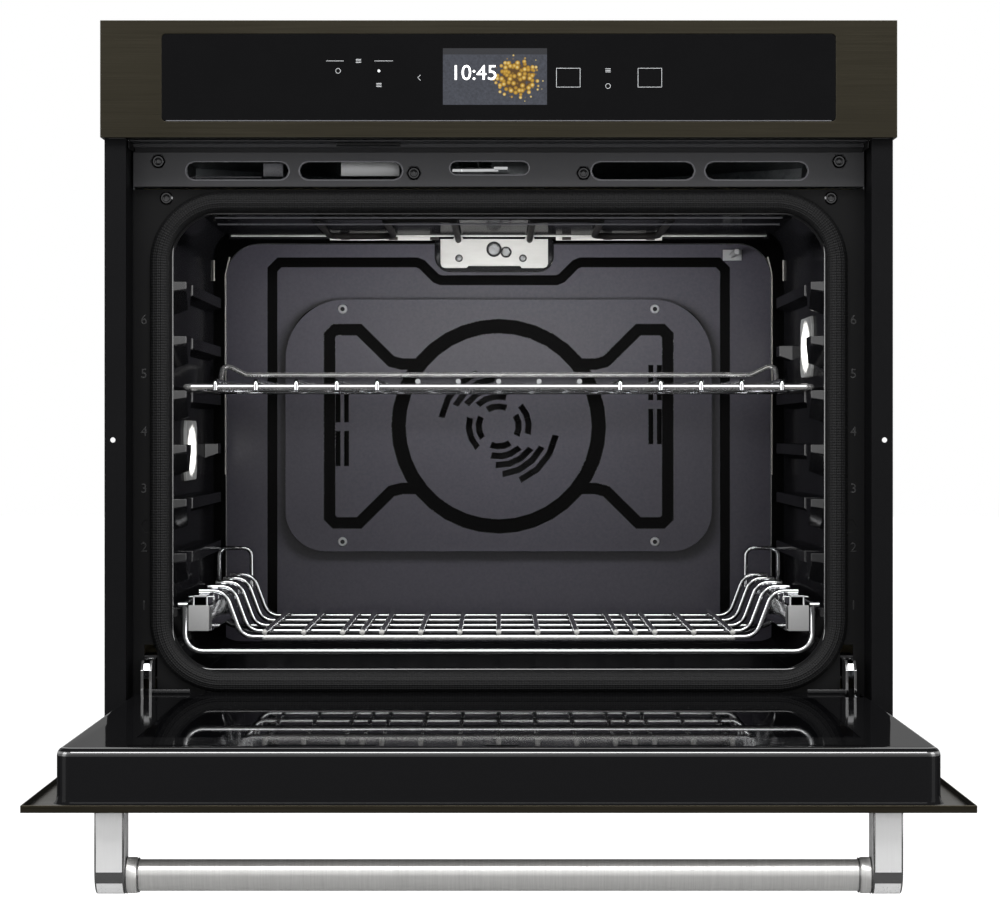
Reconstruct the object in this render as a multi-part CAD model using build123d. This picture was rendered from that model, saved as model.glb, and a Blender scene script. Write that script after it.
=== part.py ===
from build123d import *
from math import cos, radians, sin, tan
import os

# Built-in single electric wall oven for a 30 inch cabinet, standing open.
#
# Frame: X to the right, Y to the back, Z up.  z = 0 is the face of the base that
# rests on the cabinet shelf, y = 0 is the plane of the cabinet's front, and x = 0
# is the middle of the oven.  All sizes are in millimetres.
#
# The door and its handle are drawn closed and then turned down about the hinge
# pins, because the part rests with its door open.

# ---- Chassis and front
FACE_WIDTH = 762.0  # control fascia and door skin
FACE_PROUD = 32.0  # how far both stand out from the cabinet
FACE_LAP = 24.5  # how far the face laps over the cabinet on each side
CHASSIS_HEIGHT = 692.0  # box that goes into the cabinet's cut-out
CHASSIS_DEPTH = 574.0
CASE_SHEET = 1.0  # zinc-coated sheet of the outer case
GAP = 0.3  # clearance between pieces that only seat on each other
FRAME_FRONT = 32.0  # front frame, set back from the cabinet's front
ENAMEL_SHEET = 1.5  # enamelled steel of cavity and frame
CONTROL_ROOM = 126.0  # from the front frame's top to the lid
BASE_FLANGE = 18.0

# ---- Cavity
CAVITY_SIDE_ROOM = 36.5  # from the cavity to the case's side
CAVITY_REAR_ROOM = 62.0
CAVITY_TOP_ROOM = 10.0  # from the cavity to the front frame's top
CAVITY_FLOOR = 95.0
CAVITY_CORNER = 30.0
OPENING_LIP = 2.0  # frame lip inside the cavity at the sides and the floor
OPENING_TOP_LIP = 13.0
OPENING_CORNER = 50.0
FLOOR_PRESSING = 0.7
BACK_GROOVE_WIDTH = 11.0
BACK_GROOVE_INSET = 66.0
BACK_GROOVE_BELOW = 36.0
BACK_GROOVE_DIP = 20.0
BACK_GROOVE_DEPTH = 0.8

# ---- Rack guides pressed into the side walls
GUIDE_FIRST_TOP = 157.3
GUIDE_HEADROOM = 79.2
GUIDE_LEVELS = 7
GUIDE_PROUD = 14.0
GUIDE_BAR_HEIGHT = 16.0
GUIDE_FRONT = 43.0
GUIDE_BAR_FRONT = 112.0
GUIDE_REAR_GAP = 62.0
GUIDE_STUB = 46.0
TEARDROP_LENGTH = 60.0
TEARDROP_HEIGHT = 31.0
TEARDROP_POINT = 12.0
GUIDE_DRAFT = 20.0

# ---- Lamps, one in each side wall
LAMP_LENGTH = 116.0
LAMP_HEIGHT = 62.0
LAMP_MIDDLE_Y = 222.0
LAMP_BELOW_GUIDE = 6.5
LAMP_LEVELS = {-1: 3, 1: 5}
LAMP_DEPTH = 24.0
LENS_PROUD = 3.0
LENS_RIM = 4.0
LENS_CORNER = 8.4
LAMP_WALL = 8.0

# ---- Gasket
GASKET_WIDTH = 20.0
GASKET_DEPTH = 11.5
GASKET_EDGE = 3.0

# ---- Fan, its baffle and its heater
FAN_BELOW_MIDDLE = 1.0
FAN_RADIUS = 76.0
FAN_DEPTH = 20.0
FAN_BLADES = 10
FAN_SHEET = 1.2
FAN_SHAFT_RADIUS = 4.0
FAN_FLOOR_GAP = 6.0
SHAFT_CLEARANCE = 0.05
FAN_WELL_RADIUS = 124.0
FAN_WELL_DEPTH = 24.0
MOTOR_RADIUS = 42.0
MOTOR_LENGTH = 30.0
RING_RADIUS = 100.0
RING_TUBE = 3.5
RING_FEET = 28.0
BAFFLE_SIDE_MARGIN = 81.5
BAFFLE_BELOW_CEILING = 78.0
BAFFLE_BOTTOM = 196.0
BAFFLE_TOP_CORNER = 67.0
BAFFLE_BOTTOM_CORNER = 45.0
BAFFLE_STANDOFF = 16.0
BAFFLE_SHEET = 1.6
BAFFLE_SCREW_INSET = 64.0
BAFFLE_SCREW_RISE = 11.0
BOW_RING_RADIUS = 112.0
BOW_RING_WIDTH = 15.7
BOW_WIDTH = 12.5
BOW_MARGIN = 49.5
BOW_HALF_HEIGHT = 108.0
BOW_HUMP = 39.0
BOW_VALLEY_X = 114.0
BOW_VALLEY_Z = 69.5
BOW_DEPTH = 0.9
BOW_BEND = 12.0
SWIRL_WIDTH = 6.4
AIR_SLOT_WIDTH = 5.0
AIR_SLOT_LENGTH = 39.0
AIR_SLOT_INSET = 68.5
AIR_SLOT_PITCH = 9.5

# ---- Heaters
HEATER_TUBE = 3.5
BROIL_BELOW_CEILING = 11.0
BROIL_FRONT = 112.0
BROIL_PITCH = 70.0
BROIL_LEG_HALF = 40.0
BROIL_CLIP = 6.0
BAKE_DROP = 8.0
BAKE_HALF_WIDTH = 200.0
BAKE_FRONT = 112.0
BAKE_LEAD = 60.0
BAKE_BEND = 25.0
REFLECTOR_MARGIN = 18.0
REFLECTOR_LIP = 5.0
REFLECTOR_DROP = 5.2

# ---- Attachment hub plate and probe on the back wall
HUB_HALF_WIDTH = 68.4
HUB_MIDDLE = -5.3
HUB_BELOW_CEILING = 7.5
HUB_HEIGHT = 34.8
HUB_SHEET = 2.4
PROBE_INSET = 58.0
PROBE_BELOW_CEILING = 28.0
PROBE_RADIUS = 3.0
PROBE_LENGTH = 72.0

# ---- Cooling air: trims, duct and blower
VENT_FRONT = 20.0
VENT_MARGIN = 1.5
VENT_LIFT = 2.0
VENT_HEIGHT = 33.0
VENT_DEPTH = 8.0
VENT_SLOT_HEIGHT = 16.6
VENT_SLOT_RISE = 15.3
VENT_SLOT_START = 92.2  # from the row's middle to its first slot
VENT_SLOT_END = 53.2  # from its last slot to the trim's end
VENT_SLOT_BRIDGE = 11.0
VENT_SLOT_SHIFT = -1.7
LATCH_SLOT_X = -9.0
LATCH_SLOT_WIDTH = 76.0
LATCH_SLOT_HEIGHT = 12.0
LATCH_SLOT_RISE = 18.0
LATCH_ROOM = 16.0
LATCH_PLATE = 2.0
LATCH_POST_RISE = 6.0
LATCH_MOTOR_SIZE = 42.0
LATCH_MOTOR_HEIGHT = 34.0
TRIM_SHEET = 1.2
SIDE_TRIM_PROUD = 22.0
SIDE_TRIM_BOTTOM = 46.0
SIDE_TRIM_EDGE = 3.0
DIMPLE_INSET = 14.5
DIMPLE_DROP = 84.0
DIMPLE_RADIUS = 6.0
SIDE_HOLE_INSET = 11.0
SIDE_HOLE_Z = 321.8
SIDE_HOLE_RADIUS = 2.5
LOWER_TRIM_TOP = 18.0
LOWER_SLOT_PITCH = 90.0
LOWER_SLOT_LENGTH = 70.0
LOWER_SLOT_HEIGHT = 6.0
LOWER_TRIM_DROP = 10.0
LOWER_TRIM_PROUD = 26.0
DUCT_HEIGHT = 24.0
DUCT_INSET = 51.5
DUCT_FRONT_DEPTH = 90.0
DUCT_NECK = 78.0
BLOWER_FROM_BACK = 174.0
BLOWER_RADIUS = 80.0
BLOWER_HEIGHT = 66.0
BLOWER_INLET = 46.0
WHEEL_RADIUS = 58.0
WHEEL_HEIGHT = 46.0
WHEEL_BLADES = 16
WHEEL_RIM = 12.0
WHEEL_LIFT = 6.0
BLOWER_MOTOR_RADIUS = 36.0
BLOWER_MOTOR_HEIGHT = 40.0
BLOWER_MOTOR_CAP = 8.0
BLOWER_FOOT_WIDTH = 10.0
BLOWER_FOOT_SHEET = 2.0

# ---- Control fascia
FASCIA_LIFT = 10.0  # from the vent trim to the fascia
FASCIA_HEIGHT = 112.0
FASCIA_SHEET = 1.5
GLASS_SIDE_MARGIN = 59.0
GLASS_LOW_MARGIN = 15.6
GLASS_TOP_MARGIN = 13.4
GLASS_CORNER = 4.0
GLASS_THICKNESS = 4.0
DISPLAY_WIDTH = 112.0
DISPLAY_HEIGHT = 62.0
DISPLAY_DEPTH = 16.0
DISPLAY_SHIFT = -6.0
CARRIER_LAP = 12.0
SHELF_LIP = 4.5
SHELF_LAP = 9.0  # how far the control shelf reaches under the fascia
BOARD_LENGTH = 190.0
BOARD_WIDTH = 76.0
BOARD_THICKNESS = 1.6
BOARD_INSET = 10.0
RELAY_LENGTH = 28.0
RELAY_WIDTH = 22.0
COMPONENT_HEIGHT = 30.0

# ---- Supply terminal box
TERMINAL_WIDTH = 110.0
TERMINAL_HEIGHT = 70.0
TERMINAL_DEPTH = 34.0
TERMINAL_INSET = 106.5
GLAND_RADIUS = 14.0
GLAND_PROUD = 6.0

# ---- Insulation
INSULATION_FRONT = 90.0
INSULATION_BACK = 24.0
INSULATION_BOTTOM = 26.0
INSULATION_OVER = 15.0

# ---- Door, in its closed place
DOOR_BOTTOM = 36.0
DOOR_TOP_GAP = 3.0
DOOR_REST_ANGLE = 90.0
DOOR_GAP = 0.9  # liner face to gasket when closed
SKIN_DEPTH = 6.0
SKIN_SHEET = 1.2
LINER_SIDE_MARGIN = 27.0
LINER_LOW_MARGIN = 8.0
LINER_TOP_MARGIN = 3.0
LINER_SHEET = 1.2
LINER_EDGE = 9.0
WINDOW_SIDE_MARGIN = 101.0
WINDOW_END_MARGIN = 121.0
WINDOW_BELOW_MIDDLE = 4.0
WINDOW_LAP = 18.0
WINDOW_CORNER = 14.0
WINDOW_GLASS = 4.0
INNER_GLASS_SIDE_MARGIN = 56.0
INNER_GLASS_END_MARGIN = 82.5
INNER_GLASS = 4.0
MIDDLE_GLASS = 3.0
GLASS_FRAME_WIDTH = 14.0
GLASS_FRAME_DEPTH = 22.0
GLASS_FRAME_LAP = 8.0
LINER_SLOT_LESS = 9.0
LINER_SLOT_HEIGHT = 10.0
LINER_LATCH_X = 2.5
LINER_LATCH_WIDTH = 29.0
LINER_LATCH_HEIGHT = 12.0

# ---- Hinges
PIVOT_Y = -2.0
PIVOT_Z = 56.0
PIVOT_RADIUS = 4.0
PIVOT_CLEARANCE = 0.05
HINGE_INSET = 17.2
ARM_WIDTH = 10.6
ARM_TOP = 109.0
ARM_SHEET = 2.5
ARM_LENGTH = 70.0
ARM_NECK = 18.0
ARM_SIDE_GAP = 1.0
CHANNEL_SHEET = 1.5
CHANNEL_HEIGHT = 190.0
CHANNEL_LIFT = 5.0
CHANNEL_FRONT = 22.0
CHANNEL_BACK = 17.0
RECEIVER_DEPTH = 44.0

# ---- Handle
HANDLE_RADIUS = 12.75
HANDLE_STANDOFF = 54.7
HANDLE_BELOW_TOP = 40.0
BRACKET_INSET = 80.0
BRACKET_WIDTH = 24.0
BRACKET_HEIGHT = 34.0
BRACKET_BEYOND = 15.3
BRACKET_EDGE = 6.0
COLLAR_RADIUS = 14.5
COLLAR_LENGTH = 9.0

# ---- Flat rack
RACK_ROD = 3.0
RACK_WIRE = 2.5
RACK_LEVEL = 4
RACK_FRONT = 46.0
RACK_REAR_GAP = 42.0
RACK_RAIL_RISE = 19.4
RACK_CORNER_RISE = 28.4
RACK_CORNER_FLAT = 26.0
RACK_CORNER_END = 48.0
RACK_BEND = 7.5
RACK_WIRE_MARGIN = 29.8
RACK_WIRES = 15
RACK_PLAIN_WIRES = 5
RACK_SIDE_GAP = 10.0

# ---- Roll-out rack: frame, slides and shelf
FRAME_ROD = 3.0
FRAME_U_Y = 38.2
FRAME_U_BOTTOM = 115.0
FRAME_U_BEND = 18.0
FRAME_REAR_GAP = 48.0
SLIDE_WIDTH = 22.5
SLIDE_HEIGHT = 25.0
SLIDE_BOTTOM = 135.0
SLIDE_SHEET = 1.5
SLIDE_FRONT = 42.5
SLIDE_REAR_GAP = 55.5
SLIDE_PLAY = 0.5
CAP_THICKNESS = 4.0
SHELF_TOP = 172.0
SHELF_LOW = 127.0
SHELF_WIRE = 2.6
SHELF_SHOULDER_INSET = 7.2
SHELF_SHOULDER_END = 32.2
SHELF_DROP_END = 49.2
SHELF_BEND = 16.0
SHELF_FIRST_CROSS = 77.0
SHELF_REAR_GAP = 60.0
SHELF_CROSS_WIRES = 5
SHELF_WIRE_MARGIN = 72.2
SHELF_WIRE_STEPS = (0, 1, 2, 3, 3.5, 4, 5, 6)
SHELF_OVERHANG = 8.0

# ---- Screws
SCREW_HEAD = 6.5
SCREW_HEAD_HEIGHT = 3.0
SCREW_SHANK = 2.4
SCREW_LENGTH = 8.0
SCREW_PLAY = 0.2
SCREW_CUP_WALL = 1.2

# ---- Flats that stand for a round, where the form is small or hidden
WIRE_SIDES = 6
BEND_STEPS = 2
SMALL_SIDES = 6
LARGE_SIDES = 18
SLOT_STEPS = 4
SWIRL_STEPS = 3
PRESSED_STEPS = 36

# ---- Worked out from the sizes above
CHASSIS_HALF = FACE_WIDTH / 2 - FACE_LAP
CHASSIS_WIDTH = 2 * CHASSIS_HALF
FRAME_TOP = CHASSIS_HEIGHT - CONTROL_ROOM
CAVITY_HALF = CHASSIS_HALF - CAVITY_SIDE_ROOM
CAVITY_WIDTH = 2 * CAVITY_HALF
CAVITY_CEILING = FRAME_TOP - CAVITY_TOP_ROOM
CAVITY_BACK = CHASSIS_DEPTH - CAVITY_REAR_ROOM
OPENING_TOP = CAVITY_CEILING - OPENING_TOP_LIP
BACK_GROOVE_HALF = CAVITY_HALF - BACK_GROOVE_INSET
BACK_GROOVE_TOP = CAVITY_CEILING - BACK_GROOVE_BELOW
GUIDE_PITCH = (CAVITY_CEILING - GUIDE_HEADROOM - GUIDE_FIRST_TOP) / (GUIDE_LEVELS - 1)
GUIDE_REAR = CAVITY_BACK - GUIDE_REAR_GAP
BAFFLE_HALF_WIDTH = CAVITY_HALF - BAFFLE_SIDE_MARGIN
BAFFLE_TOP = CAVITY_CEILING - BAFFLE_BELOW_CEILING
FAN_CENTRE_Z = (BAFFLE_TOP + BAFFLE_BOTTOM) / 2 - FAN_BELOW_MIDDLE
BOW_HALF_WIDTH = BAFFLE_HALF_WIDTH - BOW_MARGIN
BOW_HUMP_INNER = BOW_HALF_WIDTH - BOW_HUMP
BROIL_Z = CAVITY_CEILING - BROIL_BELOW_CEILING
REFLECTOR_HALF_WIDTH = CAVITY_HALF - REFLECTOR_MARGIN
HUB_TOP = CAVITY_CEILING - HUB_BELOW_CEILING
PROBE_X = CAVITY_HALF - PROBE_INSET
PROBE_Z = CAVITY_CEILING - PROBE_BELOW_CEILING
VENT_HALF_WIDTH = CHASSIS_HALF - VENT_MARGIN
VENT_BOTTOM = FRAME_TOP + VENT_LIFT
VENT_TOP = VENT_BOTTOM + VENT_HEIGHT
VENT_SLOT_Z = VENT_BOTTOM + VENT_SLOT_RISE
VENT_SLOT_ZONE = VENT_HALF_WIDTH - VENT_SLOT_END - VENT_SLOT_START
VENT_SLOT_LENGTH = (VENT_SLOT_ZONE - VENT_SLOT_BRIDGE) / 2
LATCH_SLOT_Z = VENT_BOTTOM + LATCH_SLOT_RISE
SIDE_HOLE_HALF = FACE_WIDTH / 2 - SIDE_HOLE_INSET
DUCT_HALF_WIDTH = CHASSIS_HALF - DUCT_INSET
BLOWER_Y = CHASSIS_DEPTH - BLOWER_FROM_BACK
FASCIA_BOTTOM = VENT_TOP + FASCIA_LIFT
FASCIA_TOP = FASCIA_BOTTOM + FASCIA_HEIGHT
GLASS_HALF_WIDTH = FACE_WIDTH / 2 - GLASS_SIDE_MARGIN
GLASS_BOTTOM = FASCIA_BOTTOM + GLASS_LOW_MARGIN
GLASS_TOP = FASCIA_TOP - GLASS_TOP_MARGIN
TERMINAL_X = TERMINAL_INSET - CHASSIS_HALF
INSULATION_TOP = CAVITY_CEILING + INSULATION_OVER
DOOR_TOP = FASCIA_BOTTOM - DOOR_TOP_GAP
DOOR_MIDDLE = (DOOR_TOP + DOOR_BOTTOM) / 2
LINER_HALF_WIDTH = FACE_WIDTH / 2 - LINER_SIDE_MARGIN
LINER_BOTTOM = DOOR_BOTTOM + LINER_LOW_MARGIN
LINER_TOP = DOOR_TOP - LINER_TOP_MARGIN
WINDOW_WIDTH = FACE_WIDTH - 2 * WINDOW_SIDE_MARGIN
WINDOW_HEIGHT = DOOR_TOP - DOOR_BOTTOM - 2 * WINDOW_END_MARGIN
WINDOW_MIDDLE_Z = DOOR_MIDDLE - WINDOW_BELOW_MIDDLE
INNER_GLASS_WIDTH = 2 * (LINER_HALF_WIDTH - INNER_GLASS_SIDE_MARGIN)
INNER_GLASS_HEIGHT = LINER_TOP - LINER_BOTTOM - 2 * INNER_GLASS_END_MARGIN
HINGE_X = CHASSIS_HALF - HINGE_INSET
BRACKET_INNER = FACE_WIDTH / 2 - BRACKET_INSET
FRAME_BACK = FRAME_FRONT + ENAMEL_SHEET
OPENING_HALF = CAVITY_HALF - OPENING_LIP
OPENING_BOTTOM = CAVITY_FLOOR + OPENING_LIP
CASE_INNER = CHASSIS_HALF - CASE_SHEET
WELL_FLOOR = CAVITY_BACK + FAN_WELL_DEPTH
BAFFLE_FRONT = CAVITY_BACK - BAFFLE_STANDOFF
LINER_FACE = FRAME_FRONT - GASKET_DEPTH - DOOR_GAP
SKIN_BACK = SKIN_DEPTH - FACE_PROUD
PIN_Z = GUIDE_FIRST_TOP + GAP + FRAME_ROD
RACK_Z = GUIDE_FIRST_TOP + RACK_LEVEL * GUIDE_PITCH + GAP + RACK_ROD
CORNER_REACH = 1 / cos(radians(180 / WIRE_SIDES))
RACK_ROD_X = CAVITY_HALF - RACK_SIDE_GAP - RACK_ROD
DUCT_BOTTOM = INSULATION_TOP + GAP
DUCT_TOP = DUCT_BOTTOM + DUCT_HEIGHT
HINGE_SLOT = ARM_WIDTH + 2 * ARM_SIDE_GAP
RACK_REAR = CAVITY_BACK - RACK_REAR_GAP
RACK_PITCH = (RACK_ROD_X - RACK_WIRE_MARGIN) * 2 / (RACK_WIRES - 1)
FRAME_REAR_U_Y = CAVITY_BACK - FRAME_REAR_GAP
SLIDE_OUTER = RACK_ROD_X - FRAME_ROD * CORNER_REACH - GAP
SLIDE_LENGTH = CAVITY_BACK - SLIDE_REAR_GAP - SLIDE_FRONT
SHELF_LAST_CROSS = CAVITY_BACK - SHELF_REAR_GAP
SHELF_PITCH = (SLIDE_OUTER - SHELF_WIRE_MARGIN) / SHELF_WIRE_STEPS[-1]


def span(x, y, z):
    """Box between (low, high) pairs along X, Y and Z."""
    sides = [high - low for low, high in (x, y, z)]
    middle = [(high + low) / 2 for low, high in (x, y, z)]
    return Pos(*middle) * Box(*sides)


def upright(sketch, front, depth):
    """A sketch in X and Z, made solid from y = front towards the back."""
    return extrude(Plane.XZ.offset(-front) * sketch, amount=-depth)


def sideways(sketch, left, width):
    """A sketch in Y and Z, made solid from x = left towards the right."""
    return extrude(Plane.YZ.offset(left) * sketch, amount=width)


def lying(sketch, bottom, height):
    """A sketch in X and Y, made solid from z = bottom upwards."""
    return extrude(Plane.XY.offset(bottom) * sketch, amount=height)


def outline(*points):
    """A face with straight edges through 2-D points."""
    return make_face(Polyline(*points, close=True))


def rounded_panel(half_width, bottom, top, corner):
    """Rounded rectangle in X and Z, level with x = 0."""
    shape = RectangleRounded(2 * half_width, top - bottom, corner)
    return Pos(0, (top + bottom) / 2) * shape


def bent_route(points, bend):
    """The wire's route, with each bend taken in a few short straight steps."""
    if not bend:
        return Polyline(*points) if len(points) > 2 else Line(*points)
    smooth = FilletPolyline(*points, radius=bend)
    stops = [smooth @ 0]
    for edge in smooth.order_edges():
        if edge.geom_type == GeomType.LINE:
            stops.append(edge @ 1)
        else:
            stops += [edge @ (step / BEND_STEPS) for step in range(1, BEND_STEPS + 1)]
    return Polyline(*stops)


def wire_section(radius):
    """Cross-section of a drawn wire, with flats that seat on other wires."""
    return RegularPolygon(radius, WIRE_SIDES, major_radius=False, rotation=90 - 180 / WIRE_SIDES)


def rod(points, radius, bend=0.0):
    """Wire through 3-D points, with each corner bent to one radius."""
    route = bent_route(points, bend)
    along = route % 0
    level = along.cross(Vector(0, 0, 1)) if abs(along.Z) < 0.9 else Vector(1, 0, 0)
    start = Plane(origin=route @ 0, x_dir=level, z_dir=along)
    return sweep(start * wire_section(radius), path=route, transition=Transition.RIGHT)


def along_y(x, z, front, back, radius):
    """Round bar that runs towards the back."""
    return upright(Pos(x, z) * Circle(radius), front, back - front)


def wire_along_y(x, z, front, back, radius):
    """Straight wire that runs towards the back."""
    return upright(Pos(x, z) * wire_section(radius), front, back - front)


def wire_along_x(y, z, left, right, radius):
    """Straight wire that runs to the right."""
    return sideways(Pos(y, z) * wire_section(radius), left, right - left)


def small_round(radius):
    """Face of a small round feature, such as a screw's head or hole."""
    return RegularPolygon(radius, SMALL_SIDES, major_radius=False)


def large_round(radius):
    """Face of a large round feature that stays out of sight."""
    return RegularPolygon(radius, LARGE_SIDES)


def obround(length, height):
    """Slot with round ends, each end taken in a few flats."""
    half, radius = (length - height) / 2, height / 2
    turns = [180 / SLOT_STEPS * step - 90 for step in range(SLOT_STEPS + 1)]
    right = [(half + radius * cos(radians(turn)), radius * sin(radians(turn))) for turn in turns]
    return outline(*right, *[(-x, -z) for x, z in right])


def stepped_arc(radius, start, end, steps):
    """Points on a circle from one angle to another, in degrees."""
    turns = [radians(start + (end - start) * step / steps) for step in range(steps + 1)]
    return [(radius * cos(turn), radius * sin(turn)) for turn in turns]


def save(name, *solids):
    """Write one node's solids to its STEP file."""
    shapes = [s for item in solids for s in (item if isinstance(item, list) else [item])]
    whole = shapes[0] if len(shapes) == 1 else Compound(children=shapes)
    export_step(whole, f"parts/{name}.step")


# ---- Outer case


def make_base_pan():
    """Tray that carries the oven on the cabinet shelf."""
    length = (0, CHASSIS_DEPTH - CASE_SHEET)
    tray = span((-CASE_INNER, CASE_INNER), length, (0, BASE_FLANGE))
    hollow = span(
        (CASE_SHEET - CASE_INNER, CASE_INNER - CASE_SHEET),
        (length[0] + CASE_SHEET, length[1] - CASE_SHEET),
        (CASE_SHEET, BASE_FLANGE + 1),
    )
    return tray - hollow


def make_side_panel(side):
    """Side of the case, with a row of air slots near its top."""
    inner, outer = sorted((side * CASE_INNER, side * CHASSIS_HALF))
    top = CHASSIS_HEIGHT - CASE_SHEET
    panel = span((inner, outer), (FRAME_BACK, CHASSIS_DEPTH - CASE_SHEET), (0, top))
    slot_z = (INSULATION_TOP + CHASSIS_HEIGHT) / 2
    for step in range(5):
        slot_y = CHASSIS_DEPTH / 2 + 40 * step
        slot = Pos(slot_y, slot_z) * Rectangle(6, 60)
        panel -= sideways(slot, inner - 1, CASE_SHEET + 2)
    return panel


def make_top_panel():
    """Lid of the case, over the control space."""
    wide = (-CHASSIS_HALF, CHASSIS_HALF)
    lid = span(wide, (0, CHASSIS_DEPTH), (CHASSIS_HEIGHT - CASE_SHEET, CHASSIS_HEIGHT))
    lip = span(wide, (0, CASE_SHEET), (FASCIA_BOTTOM + FASCIA_SHEET + GAP, CHASSIS_HEIGHT))
    window = span(
        (-GLASS_HALF_WIDTH, GLASS_HALF_WIDTH),
        (-1, CASE_SHEET + 1),
        (GLASS_BOTTOM, CHASSIS_HEIGHT - 2 * SHELF_LIP),
    )
    return lid + (lip - window)


def make_rear_panel():
    """Back of the case, with air slots and the cable hole."""
    top = CHASSIS_HEIGHT - CASE_SHEET
    panel = span((-CHASSIS_HALF, CHASSIS_HALF), (CHASSIS_DEPTH - CASE_SHEET, CHASSIS_DEPTH), (0, top))
    back = CHASSIS_DEPTH - CASE_SHEET - 1
    for step in range(6):
        place = Pos(60 + 32 * step, (DUCT_TOP + top) / 2)
        panel -= upright(place * Rectangle(6, 60), back, CASE_SHEET + 2)
    hole = Pos(TERMINAL_X, terminal_middle()) * large_round(GLAND_RADIUS + GAP)
    return panel - upright(hole, back, CASE_SHEET + 2)


def terminal_middle():
    """Height of the terminal box's middle."""
    return CHASSIS_HEIGHT - CASE_SHEET - GAP - TERMINAL_HEIGHT / 2


def make_terminal_box():
    """Supply terminal box with its gland through the rear panel."""
    back = CHASSIS_DEPTH - CASE_SHEET - GAP
    box = upright(
        Pos(TERMINAL_X, terminal_middle()) * Rectangle(TERMINAL_WIDTH, TERMINAL_HEIGHT),
        back - TERMINAL_DEPTH,
        TERMINAL_DEPTH,
    )
    gland_end = CHASSIS_DEPTH + GLAND_PROUD
    middle = Pos(TERMINAL_X, terminal_middle())
    gland = upright(middle * large_round(GLAND_RADIUS), back, gland_end - back)
    bore = upright(middle * large_round(GLAND_RADIUS * 0.7), back, gland_end + 1 - back)
    return box + gland - bore


# ---- Front frame and cavity


def frame_screw_places():
    """Screws in the front frame's top corners."""
    edge = FRAME_TOP - SCREW_HEAD - 2
    return [(-CAVITY_HALF - 4, edge), (CAVITY_HALF + 4, edge)]


def vent_screw_places():
    """Screws in the vent trim."""
    outer = VENT_HALF_WIDTH - 24
    inner = LATCH_SLOT_WIDTH + SCREW_HEAD
    low = VENT_BOTTOM + SCREW_HEAD * 2
    high = VENT_TOP - SCREW_HEAD - 2
    return [(-outer, high), (-inner, low), (inner, low), (outer, high)]


def make_front_frame():
    """Enamelled frame around the cavity's mouth."""
    low = BASE_FLANGE + CASE_SHEET
    plate = Pos(0, (low + FRAME_TOP) / 2) * Rectangle(CHASSIS_WIDTH, FRAME_TOP - low)
    plate -= rounded_panel(OPENING_HALF, OPENING_BOTTOM, OPENING_TOP, OPENING_CORNER)
    for side in (-1, 1):
        middle = (PIVOT_Z + ARM_TOP) / 2 + ARM_NECK
        plate -= Pos(side * HINGE_X, middle) * Rectangle(HINGE_SLOT, ARM_TOP - PIVOT_Z - ARM_NECK + 8)
    for x, z in frame_screw_places():
        plate -= Pos(x, z) * small_round(SCREW_SHANK + SCREW_PLAY)
    frame = upright(plate, FRAME_FRONT, ENAMEL_SHEET)
    for side in (-1, 1):
        dimple = Pos(side * (CHASSIS_HALF - DIMPLE_INSET), SIDE_HOLE_Z - DIMPLE_DROP)
        dimple *= small_round(DIMPLE_RADIUS)
        frame -= upright(dimple, FRAME_FRONT, FLOOR_PRESSING)
    return frame


def cavity_tube():
    """The cavity's four walls as one rounded tube."""
    outer = rounded_panel(
        CAVITY_HALF + ENAMEL_SHEET,
        CAVITY_FLOOR - ENAMEL_SHEET,
        CAVITY_CEILING + ENAMEL_SHEET,
        CAVITY_CORNER + ENAMEL_SHEET,
    )
    inner = rounded_panel(CAVITY_HALF, CAVITY_FLOOR, CAVITY_CEILING, CAVITY_CORNER)
    return upright(outer - inner, FRAME_BACK, CAVITY_BACK - FRAME_BACK)


def tube_slice(low, high, x):
    """The part of the tube between two heights and two sides."""
    return cavity_tube() & span(x, (FRAME_FRONT, CAVITY_BACK), (low, high))


def guide_outlines(level, side):
    """Corner points, in Y and Z, of the pressings that make one rack guide."""
    top = GUIDE_FIRST_TOP + level * GUIDE_PITCH
    middle = GUIDE_FRONT + TEARDROP_LENGTH / 2
    waist = top - GUIDE_BAR_HEIGHT * 0.6
    drop = [
        (GUIDE_FRONT, top),
        (GUIDE_FRONT, waist),
        (middle - TEARDROP_POINT / 2, top - TEARDROP_HEIGHT),
        (middle + TEARDROP_POINT / 2, top - TEARDROP_HEIGHT),
        (GUIDE_FRONT + TEARDROP_LENGTH, waist),
        (GUIDE_FRONT + TEARDROP_LENGTH, top),
    ]
    front = GUIDE_REAR - GUIDE_STUB if level == LAMP_LEVELS[side] else GUIDE_BAR_FRONT
    low = top - GUIDE_BAR_HEIGHT
    bar = [(front, top), (front, low), (GUIDE_REAR, low), (GUIDE_REAR, top)]
    return [drop, bar]


def shrunk(points, amount):
    """The same outline with every edge moved inwards; its points run anticlockwise."""
    result = []
    for before, here, after in zip(points[-1:] + points[:-1], points, points[1:] + points[:1]):
        arriving = (Vector(*here) - Vector(*before)).normalized()
        leaving = (Vector(*after) - Vector(*here)).normalized()
        inwards = Vector(-arriving.Y - leaving.Y, arriving.X + leaving.X)
        share = amount / (1 + arriving.dot(leaving))
        result.append((here[0] + inwards.X * share, here[1] + inwards.Y * share))
    return result


def pressed(points, face, side, depth, draft):
    """A pressing that stands into the cavity from a side wall, drafted but for its top."""
    top = max(z for _, z in points)
    inner = shrunk(points, depth * tan(radians(draft)))
    crown = [(after[0], top if before[1] == top else after[1]) for before, after in zip(points, inner)]
    near = [Vector(face, y, z) for y, z in points]
    far = [Vector(face - side * depth, y, z) for y, z in crown]
    faces = [Face(Wire.make_polygon(near)), Face(Wire.make_polygon(far))]
    for step in range(len(points)):
        after = (step + 1) % len(points)
        flank = [near[step], near[after], far[after], far[step]]
        faces.append(Face(Wire.make_polygon(flank)))
    return Solid(Shell(faces))


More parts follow.
